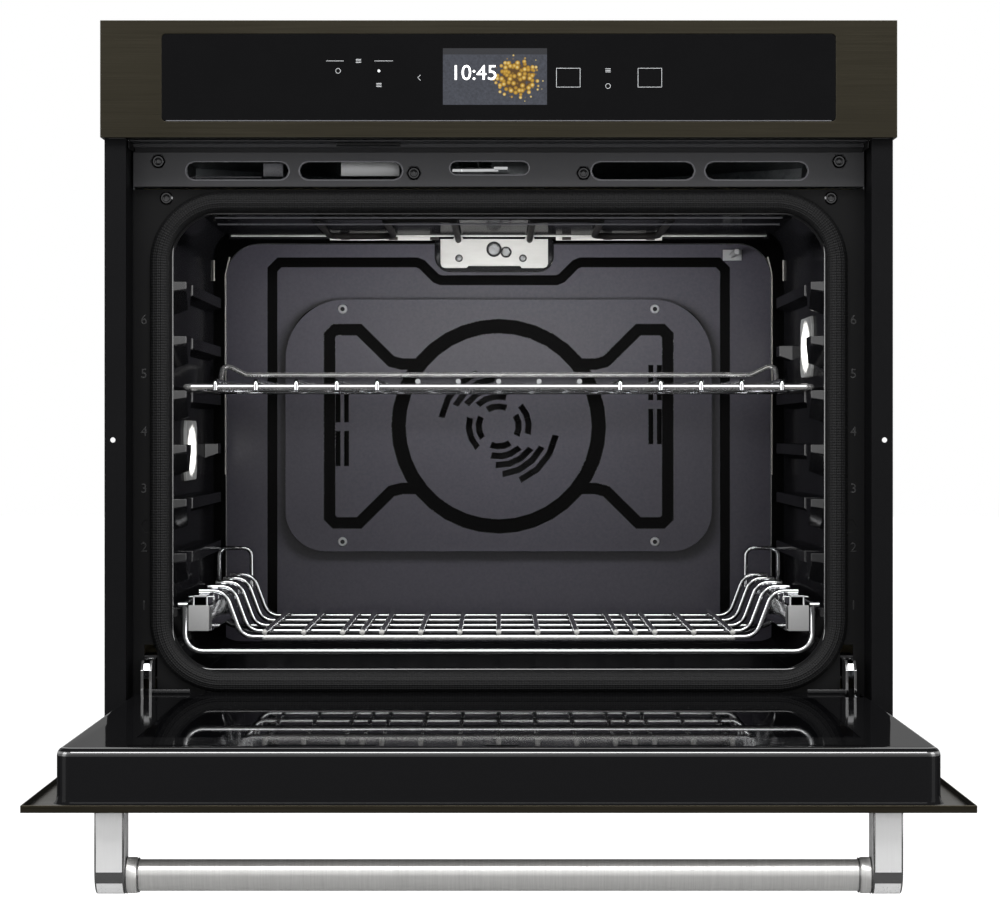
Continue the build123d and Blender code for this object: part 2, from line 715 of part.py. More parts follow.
def lamp_place(side):
    """Y and Z of a lamp's middle."""
    top = GUIDE_FIRST_TOP + LAMP_LEVELS[side] * GUIDE_PITCH
    return LAMP_MIDDLE_Y, top - LAMP_BELOW_GUIDE


def lamp_outline():
    """Long window of a lamp, with cut corners."""
    window = Rectangle(LAMP_LENGTH, LAMP_HEIGHT)
    return chamfer(window.vertices(), LENS_CORNER)


def make_cavity_wall(side):
    """Side wall of the cavity, with its rack guides and lamp opening."""
    inner, outer = side * CAVITY_HALF, side * (CAVITY_HALF + ENAMEL_SHEET)
    wall = tube_slice(
        CAVITY_FLOOR + CAVITY_CORNER,
        CAVITY_CEILING - CAVITY_CORNER,
        sorted((inner - side, outer)),
    )
    for level in range(GUIDE_LEVELS):
        for points in guide_outlines(level, side):
            wall += pressed(points, inner, side, GUIDE_PROUD, GUIDE_DRAFT)
            hollow = shrunk(points, 1.5 * ENAMEL_SHEET)
            wall -= pressed(hollow, outer, side, GUIDE_PROUD, GUIDE_DRAFT)
    mouth = Pos(*lamp_place(side)) * lamp_outline()
    left = min(inner, outer) - 1
    return wall - sideways(mouth, left, ENAMEL_SHEET + 2)


def make_cavity_floor():
    """Floor with its two lower bends and a shallow pressed pan."""
    floor = tube_slice(
        CAVITY_FLOOR - ENAMEL_SHEET,
        CAVITY_FLOOR + CAVITY_CORNER,
        (-CAVITY_HALF - ENAMEL_SHEET, CAVITY_HALF + ENAMEL_SHEET),
    )
    margin = CAVITY_CORNER
    size = (CAVITY_WIDTH - 2 * margin, CAVITY_BACK - FRAME_BACK - 2 * margin)
    place = Pos(0, (CAVITY_BACK + FRAME_BACK) / 2)
    pan = place * Rectangle(*size)
    return floor - lying(pan, CAVITY_FLOOR - FLOOR_PRESSING, 5)


def make_cavity_ceiling():
    """Ceiling with its two upper bends."""
    return tube_slice(
        CAVITY_CEILING - CAVITY_CORNER,
        CAVITY_CEILING + ENAMEL_SHEET,
        (-CAVITY_HALF - ENAMEL_SHEET, CAVITY_HALF + ENAMEL_SHEET),
    )


def back_groove():
    """Band of the groove that frames the back wall and dips under the hub plate."""
    half, top = BACK_GROOVE_HALF, BACK_GROOVE_TOP
    dip = top - BACK_GROOVE_DIP
    shoulder = HUB_HALF_WIDTH + BACK_GROOVE_DIP
    foot = CAVITY_FLOOR + CAVITY_CORNER
    points = [(-half, foot), (-half, top), (-shoulder, top), (-shoulder + BACK_GROOVE_DIP, dip)]
    points += [(-x, z) for x, z in reversed(points)]
    bend = FilletPolyline(*points, radius=BACK_GROOVE_DIP * 0.4)
    stops = [bend @ 0]
    for edge in bend.order_edges():
        stops.append(edge @ 1)
    return trace(Polyline(*stops), BACK_GROOVE_WIDTH)


def make_cavity_back():
    """Back wall with its framing groove and the round well for the fan."""
    plate = rounded_panel(
        CAVITY_HALF + ENAMEL_SHEET,
        CAVITY_FLOOR - ENAMEL_SHEET,
        CAVITY_CEILING + ENAMEL_SHEET,
        CAVITY_CORNER + ENAMEL_SHEET,
    )
    back = upright(plate, CAVITY_BACK, ENAMEL_SHEET)
    well = Pos(0, FAN_CENTRE_Z) * large_round(FAN_WELL_RADIUS + ENAMEL_SHEET)
    room = Pos(0, FAN_CENTRE_Z) * large_round(FAN_WELL_RADIUS)
    back += upright(well, CAVITY_BACK, FAN_WELL_DEPTH + ENAMEL_SHEET)
    back -= upright(room, CAVITY_BACK - 1, FAN_WELL_DEPTH + 1)
    shaft = Pos(0, FAN_CENTRE_Z) * small_round(FAN_SHAFT_RADIUS + 2)
    back -= upright(shaft, CAVITY_BACK, FAN_WELL_DEPTH + 2 * ENAMEL_SHEET)
    for x, z in baffle_screw_places():
        hole = Pos(x, z) * small_round(SCREW_SHANK + SCREW_PLAY)
        back -= upright(hole, CAVITY_BACK - 1, ENAMEL_SHEET + 2)
    return back - upright(back_groove(), CAVITY_BACK, BACK_GROOVE_DEPTH)


def make_gasket():
    """Soft woven seal around the mouth."""
    inner = rounded_panel(OPENING_HALF + 2, OPENING_BOTTOM - 1, OPENING_TOP + 1, OPENING_CORNER)
    outer = offset(inner, amount=GASKET_WIDTH)
    seal = upright(outer - inner, FRAME_FRONT - GASKET_DEPTH, GASKET_DEPTH)
    front = seal.faces().sort_by(Axis.Y)[0]
    return chamfer(front.edges(), GASKET_EDGE)


def make_insulation():
    """Mineral wool around the cavity, with pockets for the lamps and the fan well."""
    inner_x = CAVITY_HALF + ENAMEL_SHEET + GAP
    back = CAVITY_BACK + ENAMEL_SHEET + GAP
    wool = span(
        (-CASE_INNER + 3, CASE_INNER - 3),
        (INSULATION_FRONT, back + INSULATION_BACK),
        (INSULATION_BOTTOM, INSULATION_TOP),
    )
    wool -= span(
        (-inner_x, inner_x),
        (INSULATION_FRONT - 1, back),
        (CAVITY_FLOOR - 4 * HEATER_TUBE - BAKE_DROP, CAVITY_CEILING + ENAMEL_SHEET + GAP),
    )
    well = Pos(0, FAN_CENTRE_Z) * large_round(FAN_WELL_RADIUS + ENAMEL_SHEET + GAP)
    wool -= upright(well, back - 1, INSULATION_BACK + 2)
    for side in (-1, 1):
        y, z = lamp_place(side)
        near = side * inner_x - side
        far = side * (CAVITY_HALF + ENAMEL_SHEET + LAMP_DEPTH + 3)
        half_y, half_z = LAMP_LENGTH / 2 + LENS_RIM, LAMP_HEIGHT / 2 + LENS_RIM
        wool -= span(sorted((near, far)), (y - half_y, y + half_y), (z - half_z, z + half_z))
    return wool


# ---- Lamps


def make_lamp(side):
    """Lamp: a glass lens proud of the wall and the holder behind it."""
    place = Pos(*lamp_place(side))
    face = side * CAVITY_HALF
    lens = offset(place * lamp_outline(), amount=-GAP, kind=Kind.INTERSECTION)
    inner, outer = sorted((face - side * LENS_PROUD, face + side * (ENAMEL_SHEET + GAP)))
    lens_solid = sideways(lens, inner, outer - inner)
    can = place * Rectangle(LAMP_LENGTH, LAMP_HEIGHT)
    near, far = sorted((face + side * (ENAMEL_SHEET + GAP), face + side * (ENAMEL_SHEET + LAMP_DEPTH)))
    holder = sideways(can, near, far - near)
    socket = place * Rectangle(LAMP_LENGTH - 2 * LAMP_WALL, LAMP_HEIGHT - 2 * LAMP_WALL)
    depth = (far - near) - 2
    start = near if side > 0 else far - depth
    holder -= sideways(socket, start, depth)
    return [lens_solid, holder]


# ---- Fan group


def baffle_screw_places():
    """Screws that hold the fan baffle to the back wall."""
    high = BAFFLE_TOP - BAFFLE_SCREW_RISE
    low = BAFFLE_BOTTOM + BAFFLE_SCREW_RISE
    wide = BAFFLE_HALF_WIDTH - BAFFLE_SCREW_INSET
    return [(-wide, high), (wide, high), (-wide, low), (wide, low)]


def bow_tie():
    """Band of the pressed bow tie around the fan slots."""
    outer = RegularPolygon(BOW_RING_RADIUS + BOW_RING_WIDTH / 2, PRESSED_STEPS)
    inside = RegularPolygon(BOW_RING_RADIUS - BOW_RING_WIDTH / 2, PRESSED_STEPS)
    edge = BOW_BEND / 2
    upper = [
        (-BOW_HALF_WIDTH, 0),
        (-BOW_HALF_WIDTH, BOW_HALF_HEIGHT - edge),
        (-BOW_HALF_WIDTH + edge, BOW_HALF_HEIGHT),
        (-BOW_HUMP_INNER - edge, BOW_HALF_HEIGHT),
        (-BOW_VALLEY_X - edge, BOW_VALLEY_Z + edge / 2),
        (-BOW_VALLEY_X + edge, BOW_VALLEY_Z),
        (-BOW_VALLEY_X * 0.8, BOW_VALLEY_Z),
    ]
    lower = [(x, -y) for x, y in reversed(upper[1:])]
    left = trace(Polyline(*lower, *upper), BOW_WIDTH)
    loops = left + Rot(0, 0, 180) * left
    return outer - inside + (loops - outer)


def swirl_slots():
    """Curved air slots in front of the fan, as (radius, start, end) in degrees."""
    lower_right = [(22.4, -112, -57), (33.5, -104, -46), (43.5, -94, -35)]
    lower_right += [(53.5, -85, -26), (64.5, -68, -9)]
    left_pair = [(33.5, 164, 225), (22.4, 153, 215)]
    right_pair = [(33.5, -14, 43), (22.4, -26, 32)]
    upper_left = [(r, start + 180, end + 180) for r, start, end in lower_right]
    slots = Sketch()
    for radius, start, end in lower_right + upper_left + left_pair + right_pair:
        outer = stepped_arc(radius + SWIRL_WIDTH / 2, start, end, SWIRL_STEPS)
        inner = stepped_arc(radius - SWIRL_WIDTH / 2, end, start, SWIRL_STEPS)
        slots += outline(*outer, *inner)
    return slots


def make_fan_baffle():
    """Cover over the fan, with swirl slots, side slots and a pressed bow tie."""
    top, bottom = BAFFLE_TOP, BAFFLE_BOTTOM
    half = BAFFLE_HALF_WIDTH
    corners = outline((-half, bottom), (half, bottom), (half, top), (-half, top))
    upper = corners.vertices().filter_by_position(Axis.Y, top - 1, top + 1)
    corners = fillet(upper, BAFFLE_TOP_CORNER)
    lower = corners.vertices().filter_by_position(Axis.Y, bottom - 1, bottom + 1)
    face = fillet(lower, BAFFLE_BOTTOM_CORNER)
    depth = BAFFLE_STANDOFF - GAP
    cover = upright(face, BAFFLE_FRONT, depth)
    room = outline((-half, bottom), (half, bottom), (half, top), (-half, top))
    room = offset(room, amount=-BAFFLE_SHEET, kind=Kind.INTERSECTION)
    room = chamfer(room.vertices(), BAFFLE_TOP_CORNER * 0.62)
    cover -= upright(room, BAFFLE_FRONT + BAFFLE_SHEET, depth)
    centre = Pos(0, FAN_CENTRE_Z)
    cuts = centre * swirl_slots()
    for side in (-1, 1):
        rise = AIR_SLOT_LENGTH * (1.25 if side > 0 else 0.62)
        for column in range(2):
            x = side * (BAFFLE_HALF_WIDTH - AIR_SLOT_INSET + AIR_SLOT_PITCH * column)
            for row in range(2):
                z = FAN_CENTRE_Z + rise - row * (AIR_SLOT_LENGTH + 10)
                cuts += Pos(x, z) * Rectangle(AIR_SLOT_WIDTH, AIR_SLOT_LENGTH)
    cover -= upright(cuts, BAFFLE_FRONT - 1, BAFFLE_SHEET + 2)
    for x, z in baffle_screw_places():
        post = Pos(x, z) * small_round(SCREW_HEAD)
        cover += upright(post, BAFFLE_FRONT + BAFFLE_SHEET, depth - BAFFLE_SHEET)
        hole = Pos(x, z) * small_round(SCREW_SHANK + SCREW_PLAY)
        cover -= upright(hole, BAFFLE_FRONT - 1, depth + 2)
    return cover - upright(centre * bow_tie(), BAFFLE_FRONT, BOW_DEPTH)


def make_fan():
    """Radial fan on its shaft: back plate, hub and straight blades that seat on both."""
    back = WELL_FLOOR - FAN_FLOOR_GAP
    middle = Pos(0, FAN_CENTRE_Z)
    plate = upright(middle * large_round(FAN_RADIUS), back - FAN_SHEET, FAN_SHEET)
    hub_radius = 3 * FAN_SHAFT_RADIUS
    hub_sides = RegularPolygon(hub_radius, FAN_BLADES, major_radius=False)
    hub = upright(middle * hub_sides, back - FAN_DEPTH, FAN_DEPTH)
    shaft_end = WELL_FLOOR + ENAMEL_SHEET + MOTOR_LENGTH / 2
    fan = [plate + hub + along_y(0, FAN_CENTRE_Z, back - 1, shaft_end, FAN_SHAFT_RADIUS)]
    half = FAN_SHEET / 2
    blade = span((hub_radius, FAN_RADIUS - 1), (back - FAN_DEPTH, back - FAN_SHEET), (-half, half))
    for step in range(FAN_BLADES):
        turn = 360 / FAN_BLADES * (step + 0.5)
        fan.append(Pos(0, 0, FAN_CENTRE_Z) * Rot(0, turn, 0) * blade)
    return fan


def make_fan_motor():
    """Fan motor behind the well, with its mounting arms."""
    front = WELL_FLOOR + ENAMEL_SHEET + GAP
    body = upright(Pos(0, FAN_CENTRE_Z) * large_round(MOTOR_RADIUS), front, MOTOR_LENGTH)
    arm = Pos(0, FAN_CENTRE_Z) * Rectangle(2 * FAN_WELL_RADIUS, MOTOR_RADIUS / 2)
    body += upright(arm, front, 2 * CASE_SHEET)
    bore = FAN_SHAFT_RADIUS + SHAFT_CLEARANCE
    return body - along_y(0, FAN_CENTRE_Z, front - 1, front + MOTOR_LENGTH * 0.7, bore)


def make_ring_heater():
    """Round heater around the fan, with two feet on the well's floor."""
    y = CAVITY_BACK + FAN_WELL_DEPTH / 4
    outer = large_round(RING_RADIUS + RING_TUBE)
    inside = large_round(RING_RADIUS - RING_TUBE)
    ring = upright(Pos(0, FAN_CENTRE_Z) * (outer - inside), y - RING_TUBE, 2 * RING_TUBE)
    edges = ring.edges().filter_by(Axis.Y, reverse=True)
    ring = chamfer(edges, RING_TUBE * 0.55)
    foot_z = FAN_CENTRE_Z + RING_RADIUS
    back = WELL_FLOOR - GAP
    places = (-RING_FEET / 2, RING_FEET / 2)
    return [ring] + [wire_along_y(x, foot_z, y + RING_TUBE, back, RING_TUBE * 0.8) for x in places]


# ---- Heaters, hub plate and probe


def make_broil_element():
    """Serpentine grill heater under the ceiling."""
    back = CAVITY_BACK - GAP
    front = BROIL_FRONT
    wide, middle, narrow = BROIL_LEG_HALF + 2 * BROIL_PITCH, BROIL_LEG_HALF + BROIL_PITCH, BROIL_LEG_HALF
    turn = back - BROIL_PITCH
    near = front + BROIL_LEG_HALF
    half = [(narrow, back), (narrow, near), (middle, near), (middle, turn), (wide, turn), (wide, front)]
    points = [(-x, y, BROIL_Z) for x, y in half] + [(x, y, BROIL_Z) for x, y in reversed(half)]
    solids = [rod(points, HEATER_TUBE, BROIL_PITCH * 0.35)]
    clip_top = CAVITY_CEILING - REFLECTOR_DROP - CASE_SHEET - GAP
    for x in (-middle, middle):
        for y in (front + 2 * BROIL_PITCH, turn - BROIL_PITCH):
            reach = (y - BROIL_CLIP, y + BROIL_CLIP)
            across = (x - BROIL_CLIP / 2, x + BROIL_CLIP / 2)
            solids.append(span(across, reach, (BROIL_Z + HEATER_TUBE, clip_top)))
    return [Pos(HUB_MIDDLE, 0, 0) * solid for solid in solids]


def make_reflector():
    """Bright sheet between the grill heater and the ceiling, lipped at the back."""
    top = CAVITY_CEILING - REFLECTOR_DROP
    back = CAVITY_BACK - 2 * HUB_SHEET
    front = FRAME_BACK + 30
    half = REFLECTOR_HALF_WIDTH
    sheet = span((-half, half), (front, back), (top - CASE_SHEET, top))
    lip = span((-half, half), (back - CASE_SHEET, back), (top - REFLECTOR_LIP, top))
    for leg in (-BROIL_LEG_HALF, BROIL_LEG_HALF):
        lip -= along_y(HUB_MIDDLE + leg, BROIL_Z, back - 2, back + 1, HEATER_TUBE + 2)
    reflector = sheet + lip
    for x in (-half + 40, half - 40):
        for y in (front + 30, back - 30):
            reflector += Pos(x, y, 0) * lying(small_round(5), top, CAVITY_CEILING - GAP - top)
    return reflector


def make_bake_element():
    """Heater loop under the cavity floor, on two cross straps."""
    z = CAVITY_FLOOR - ENAMEL_SHEET - BAKE_DROP
    back = CAVITY_BACK - 20
    front = BAKE_FRONT
    wide, narrow = BAKE_HALF_WIDTH, BAKE_HALF_WIDTH * 0.3
    turn = back - BAKE_LEAD
    half = [(narrow, back), (narrow, turn), (wide, turn), (wide, front)]
    points = [(-x, y, z) for x, y in half] + [(x, y, z) for x, y in reversed(half)]
    solids = [rod(points, HEATER_TUBE, BAKE_BEND)]
    for y in (front + BAKE_LEAD, turn - BAKE_LEAD):
        strap_top = CAVITY_FLOOR - ENAMEL_SHEET - GAP
        solids.append(span((-wide, wide), (y - 6, y + 6), (z + HEATER_TUBE, strap_top)))
    return solids


def make_hub_plate():
    """Bright plate on the back wall that takes powered attachments."""
    step = HUB_HEIGHT * 0.22
    half = HUB_HALF_WIDTH
    low = HUB_TOP - HUB_HEIGHT
    shape = outline(
        (-half, HUB_TOP),
        (-half, low + step),
        (-half * 0.82, low + step),
        (-half * 0.7, low),
        (half * 0.7, low),
        (half * 0.82, low + step),
        (half, low + step),
        (half, HUB_TOP),
    )
    for x in (-BROIL_LEG_HALF, BROIL_LEG_HALF):
        shape -= Pos(x, BROIL_Z) * small_round(HEATER_TUBE + 3)
        shape -= Pos(x, BROIL_Z + HEATER_TUBE) * Rectangle(2 * HEATER_TUBE + 6, 2 * HEATER_TUBE)
    shape -= Pos(half * 0.1, (HUB_TOP + low) / 2) * obround(HUB_HEIGHT * 0.6, HUB_HEIGHT * 0.25)
    front = CAVITY_BACK - GAP - HUB_SHEET
    return upright(Pos(HUB_MIDDLE, 0) * shape, front, HUB_SHEET)


def make_probe():
    """Temperature probe with its flange on the back wall."""
    back = CAVITY_BACK - GAP
    stem = wire_along_y(PROBE_X, PROBE_Z, back - PROBE_LENGTH, back, PROBE_RADIUS)
    flange = Pos(PROBE_X, PROBE_Z) * Rectangle(7 * PROBE_RADIUS, 4 * PROBE_RADIUS)
    return stem + upright(flange, back - 2, 2)


# ---- Cooling air


def vent_slot_places():
    """X of the middle of each air slot."""
    inner = VENT_SLOT_START + VENT_SLOT_LENGTH / 2
    outer = inner + VENT_SLOT_LENGTH + VENT_SLOT_BRIDGE
    return [VENT_SLOT_SHIFT + x for x in (-outer, -inner, inner, outer)]


def screw_cup_depth():
    """Depth of the cups that take the vent trim's screw heads."""
    return SCREW_HEAD_HEIGHT + SCREW_PLAY


def make_vent_trim():
    """Slotted strip above the door, with a cup for each screw, where the cooling air leaves."""
    face = Pos(0, (VENT_BOTTOM + VENT_TOP) / 2) * Rectangle(2 * VENT_HALF_WIDTH, VENT_TOP - VENT_BOTTOM)
    for x in vent_slot_places():
        face -= Pos(x, VENT_SLOT_Z) * obround(VENT_SLOT_LENGTH, VENT_SLOT_HEIGHT)
    face -= Pos(LATCH_SLOT_X, LATCH_SLOT_Z) * obround(LATCH_SLOT_WIDTH, LATCH_SLOT_HEIGHT)
    trim = upright(face, VENT_FRONT, TRIM_SHEET)
    half = VENT_HALF_WIDTH
    deep = (VENT_FRONT, FRAME_FRONT + ENAMEL_SHEET)
    trim += span((-half, half), deep, (VENT_TOP - TRIM_SHEET, VENT_TOP))
    trim += span((-half, half), deep, (VENT_BOTTOM, VENT_BOTTOM + TRIM_SHEET))
    depth = screw_cup_depth()
    for x, z in vent_screw_places():
        place = Pos(x, z)
        room = SCREW_HEAD + SCREW_PLAY
        trim += upright(place * small_round(room + SCREW_CUP_WALL), VENT_FRONT, depth + SCREW_CUP_WALL)
        trim -= upright(place * small_round(room), VENT_FRONT - 1, depth + 1)
        trim -= upright(place * small_round(SCREW_SHANK + SCREW_PLAY), VENT_FRONT, depth + SCREW_LENGTH)
    return trim


def duct_plan(inset):
    """Plan of the flat duct, notched in the middle for the door latch."""
    front = FRAME_BACK + 1
    back = BLOWER_Y - BLOWER_RADIUS
    wide, neck = DUCT_HALF_WIDTH - inset, DUCT_NECK - inset
    bend = front + DUCT_FRONT_DEPTH
    notch = LATCH_SLOT_WIDTH / 2 + LATCH_ROOM + inset
    deep = front + DUCT_FRONT_DEPTH + inset
    left, right = LATCH_SLOT_X - notch, LATCH_SLOT_X + notch
    return outline(
        (-wide, front),
        (left, front),
        (left, deep),
        (right, deep),
        (right, front),
        (wide, front),
        (wide, bend),
        (neck, back),
        (-neck, back),
        (-wide, bend),
    )


def make_air_duct():
    """Flat sheet duct from the blower to the vent trim."""
    duct = lying(duct_plan(0), DUCT_BOTTOM, DUCT_HEIGHT)
    bore = lying(duct_plan(CASE_SHEET), DUCT_BOTTOM + CASE_SHEET, DUCT_HEIGHT - 2 * CASE_SHEET)
    return duct - bore


def blower_plan(inset):
    """Plan of the scroll, open to the front."""
    scroll = Pos(0, BLOWER_Y) * large_round(BLOWER_RADIUS - inset)
    mouth = DUCT_NECK - inset
    length = BLOWER_RADIUS - GAP
    return scroll + Pos(0, BLOWER_Y - length / 2) * Rectangle(2 * mouth, length)


def make_blower_housing():
    """Scroll of the cooling blower, with its inlet on top."""
    scroll = lying(blower_plan(0), DUCT_BOTTOM, BLOWER_HEIGHT)
    room = lying(blower_plan(CASE_SHEET), DUCT_BOTTOM + CASE_SHEET, BLOWER_HEIGHT - 2 * CASE_SHEET)
    inlet = Pos(0, BLOWER_Y) * large_round(BLOWER_INLET)
    scroll = scroll - room - lying(inlet, DUCT_BOTTOM + CASE_SHEET, BLOWER_HEIGHT)
    mouth = span(
        (CASE_SHEET - DUCT_NECK, DUCT_NECK - CASE_SHEET),
        (BLOWER_Y - BLOWER_RADIUS - 1, BLOWER_Y - BLOWER_RADIUS / 2),
        (DUCT_BOTTOM + CASE_SHEET, DUCT_TOP - CASE_SHEET),
    )
    return scroll - mouth


def make_blower_wheel():
    """Drum wheel of the cooling blower, with blades that seat between floor and rim."""
    low = DUCT_BOTTOM + WHEEL_LIFT
    top = low + WHEEL_HEIGHT
    floor = lying(large_round(WHEEL_RADIUS), low, FAN_SHEET)
    shaft_top = DUCT_BOTTOM + BLOWER_HEIGHT + BLOWER_MOTOR_HEIGHT / 2
    floor += lying(Circle(FAN_SHAFT_RADIUS), low, shaft_top - low)
    inside = large_round(WHEEL_RADIUS - WHEEL_RIM)
    rim = lying(large_round(WHEEL_RADIUS) - inside, top - FAN_SHEET, FAN_SHEET)
    wheel = [floor, rim]
    half = FAN_SHEET / 2
    reach = (WHEEL_RADIUS - WHEEL_RIM + FAN_SHEET, WHEEL_RADIUS - FAN_SHEET)
    blade = span(reach, (-half, half), (low + FAN_SHEET, top - FAN_SHEET))
    for step in range(WHEEL_BLADES):
        wheel.append(Rot(0, 0, 360 / WHEEL_BLADES * step) * blade)
    return [Pos(0, BLOWER_Y, 0) * piece for piece in wheel]


def make_blower_motor():
    """Motor of the cooling blower, on three feet over the inlet."""
    low = DUCT_BOTTOM + BLOWER_HEIGHT + GAP
    reach = 2 * (BLOWER_INLET + BLOWER_MOTOR_CAP)
    feet = Rectangle(reach, BLOWER_FOOT_WIDTH) + Rectangle(BLOWER_FOOT_WIDTH, reach)
    motor = lying(feet, low, BLOWER_FOOT_SHEET)
    motor += lying(large_round(BLOWER_MOTOR_RADIUS * 0.8), low, BLOWER_MOTOR_HEIGHT)
    middle = BLOWER_MOTOR_HEIGHT - 2 * BLOWER_MOTOR_CAP
    motor += lying(large_round(BLOWER_MOTOR_RADIUS), low + BLOWER_MOTOR_CAP, middle)
    bore = FAN_SHAFT_RADIUS + SHAFT_CLEARANCE
    return Pos(0, BLOWER_Y, 0) * (motor - lying(Circle(bore), low - 1, BLOWER_MOTOR_HEIGHT * 0.7))


def make_lower_trim():
    """Trim below the door, with its return to the base."""
    front = -LOWER_TRIM_PROUD
    half = CHASSIS_HALF
    face = span((-half, half), (front, front + TRIM_SHEET), (-LOWER_TRIM_DROP, LOWER_TRIM_TOP))
    ledge = span((-half, half), (front, -GAP), (LOWER_TRIM_TOP - TRIM_SHEET, LOWER_TRIM_TOP))
    rear = span((-half, half), (-GAP - TRIM_SHEET, -GAP), (0, LOWER_TRIM_TOP))
    trim = face + ledge + rear
    for step in range(-3, 4):
        slot = Pos(LOWER_SLOT_PITCH * step, (LOWER_TRIM_TOP - LOWER_TRIM_DROP) / 2)
        slot *= Rectangle(LOWER_SLOT_LENGTH, LOWER_SLOT_HEIGHT)
        trim -= upright(slot, front - 1, TRIM_SHEET + 2)
    return trim


def make_side_trim(side):
    """Folded trim that covers the cut-out's edge and takes the fixing screw."""
    inner = CHASSIS_HALF + 1
    outer = FACE_WIDTH / 2 - SIDE_TRIM_EDGE
    front = -SIDE_TRIM_PROUD
    low, high = SIDE_TRIM_BOTTOM, FASCIA_BOTTOM - GAP
    face = span((inner, outer), (front, front + TRIM_SHEET), (low, high))
    face += span((outer - TRIM_SHEET, outer), (front, 0), (low, high))
    face += span((inner, inner + TRIM_SHEET), (front, FRAME_BACK), (low, high))
    face += span((CHASSIS_HALF + GAP, inner), (FRAME_FRONT, FRAME_BACK), (low, high))
    face -= along_y(SIDE_HOLE_HALF, SIDE_HOLE_Z, front - 1, 1, SIDE_HOLE_RADIUS)
    return face if side > 0 else mirror(face, about=Plane.YZ)


# ---- Control fascia and electronics


def make_fascia():
    """Folded steel fascia with the opening for the touch glass."""
    half = FACE_WIDTH / 2
    body = span((-half, half), (-FACE_PROUD, 0), (FASCIA_BOTTOM, FASCIA_TOP))
    wall = FASCIA_SHEET
    room_z = (FASCIA_BOTTOM + wall, FASCIA_TOP - wall)
    body -= span((wall - half, half - wall), (wall - FACE_PROUD, 1), room_z)
    edge = GLASS_CORNER + GAP
    mouth = rounded_panel(GLASS_HALF_WIDTH + GAP, GLASS_BOTTOM - GAP, GLASS_TOP + GAP, edge)
    return body - upright(mouth, -FACE_PROUD - 1, wall + 2)


def make_control_glass():
    """Touch glass, flush with the fascia."""
    pane = rounded_panel(GLASS_HALF_WIDTH, GLASS_BOTTOM, GLASS_TOP, GLASS_CORNER)
    return upright(pane, -FACE_PROUD, GLASS_THICKNESS)


def make_display_module():
    """Display and touch board with the carrier that spans the opening."""
    front = GLASS_THICKNESS + GAP - FACE_PROUD
    top = GLASS_TOP + CARRIER_LAP - 1
    carrier = rounded_panel(GLASS_HALF_WIDTH + CARRIER_LAP, GLASS_BOTTOM - CARRIER_LAP, top, 3)
    module = upright(carrier, front, 2)
    screen = Pos(DISPLAY_SHIFT, (GLASS_BOTTOM + GLASS_TOP) / 2) * Rectangle(DISPLAY_WIDTH, DISPLAY_HEIGHT)
    return module + upright(screen, front + 2, DISPLAY_DEPTH)


def make_control_shelf():
    """Grey shelf that closes the control space below and hides the duct's mouth."""
    half = CASE_INNER - GAP
    wide = (-half, half)
    top = FASCIA_BOTTOM - GAP
    lip = VENT_FRONT + GAP
    shelf = span(wide, (-SHELF_LAP, FRAME_BACK), (top - TRIM_SHEET, top))
    shelf += span(wide, (lip, lip + TRIM_SHEET), (top - SHELF_LIP, top))
    return shelf + span(wide, (FRAME_BACK - TRIM_SHEET, FRAME_BACK), (VENT_TOP + GAP, top))


def make_control_board():
    """Power board with relays, on its insulating tray above the duct."""
    low = DUCT_TOP + GAP
    left = BOARD_INSET - DUCT_HALF_WIDTH
    front = FRAME_FRONT + 2 * VENT_DEPTH
    x = (left, left + BOARD_LENGTH)
    y = (front, front + BOARD_WIDTH)
    board = span(x, y, (low, low + 3 * BOARD_THICKNESS))
    for step in range(4):
        relay_x = left + (step + 0.5) * BOARD_LENGTH / 4
        across = (relay_x - RELAY_WIDTH / 2, relay_x + RELAY_WIDTH / 2)
        along = (front + BOARD_INSET, front + BOARD_INSET + RELAY_LENGTH)
        board += span(across, along, (low, low + COMPONENT_HEIGHT))
    return board


# ---- Door latch


def make_latch_motor():
    """Motor and bracket of the door latch."""
    low = INSULATION_TOP + GAP
    reach = (LATCH_SLOT_WIDTH + LATCH_ROOM) / 2
    front = FRAME_BACK + GAP
    depth = DUCT_FRONT_DEPTH - LATCH_PLATE
    across = (LATCH_SLOT_X - reach, LATCH_SLOT_X + reach)
    plate = span(across, (front, front + depth), (low, low + LATCH_PLATE))
    post = Pos(latch_pivot()[0], latch_pivot()[1]) * Circle(PIVOT_RADIUS)
    plate += lying(post, low, latch_level() - low + LATCH_POST_RISE)
    right = across[1] - LATCH_PLATE
    rear = front + depth - LATCH_PLATE
    motor = LATCH_MOTOR_SIZE
    return plate + span((right - motor, right), (rear - motor, rear), (low, low + LATCH_MOTOR_HEIGHT))


def latch_pivot():
    """X and Y of the pin that the latch hook turns on."""
    return LATCH_SLOT_X - LATCH_SLOT_WIDTH * 0.42, FRAME_BACK + 24


def latch_level():
    """Height of the hook's lower face."""
    return LATCH_SLOT_Z - 1.5


def make_latch_hook():
    """Flat hook that swings out through the trim and holds the door."""
    x, y = latch_pivot()
    tip = LINER_LATCH_X + 6
    front = VENT_FRONT + 3
    hook = Pos(x, y) * small_round(2 * PIVOT_RADIUS)
    hook += outline((x, y - 7), (tip, y - 12), (tip, y - 2), (x, y + 7))
    hook += outline((tip - 9, front), (tip, front), (tip, y - 2), (tip - 9, y - 2))
    hook += outline((tip - 13, front), (tip, front), (tip, front + 4), (tip - 13, front + 4))
    hook -= Pos(x, y) * Circle(PIVOT_RADIUS + PIVOT_CLEARANCE)
    return lying(hook, latch_level(), 3)


# ---- Hinges


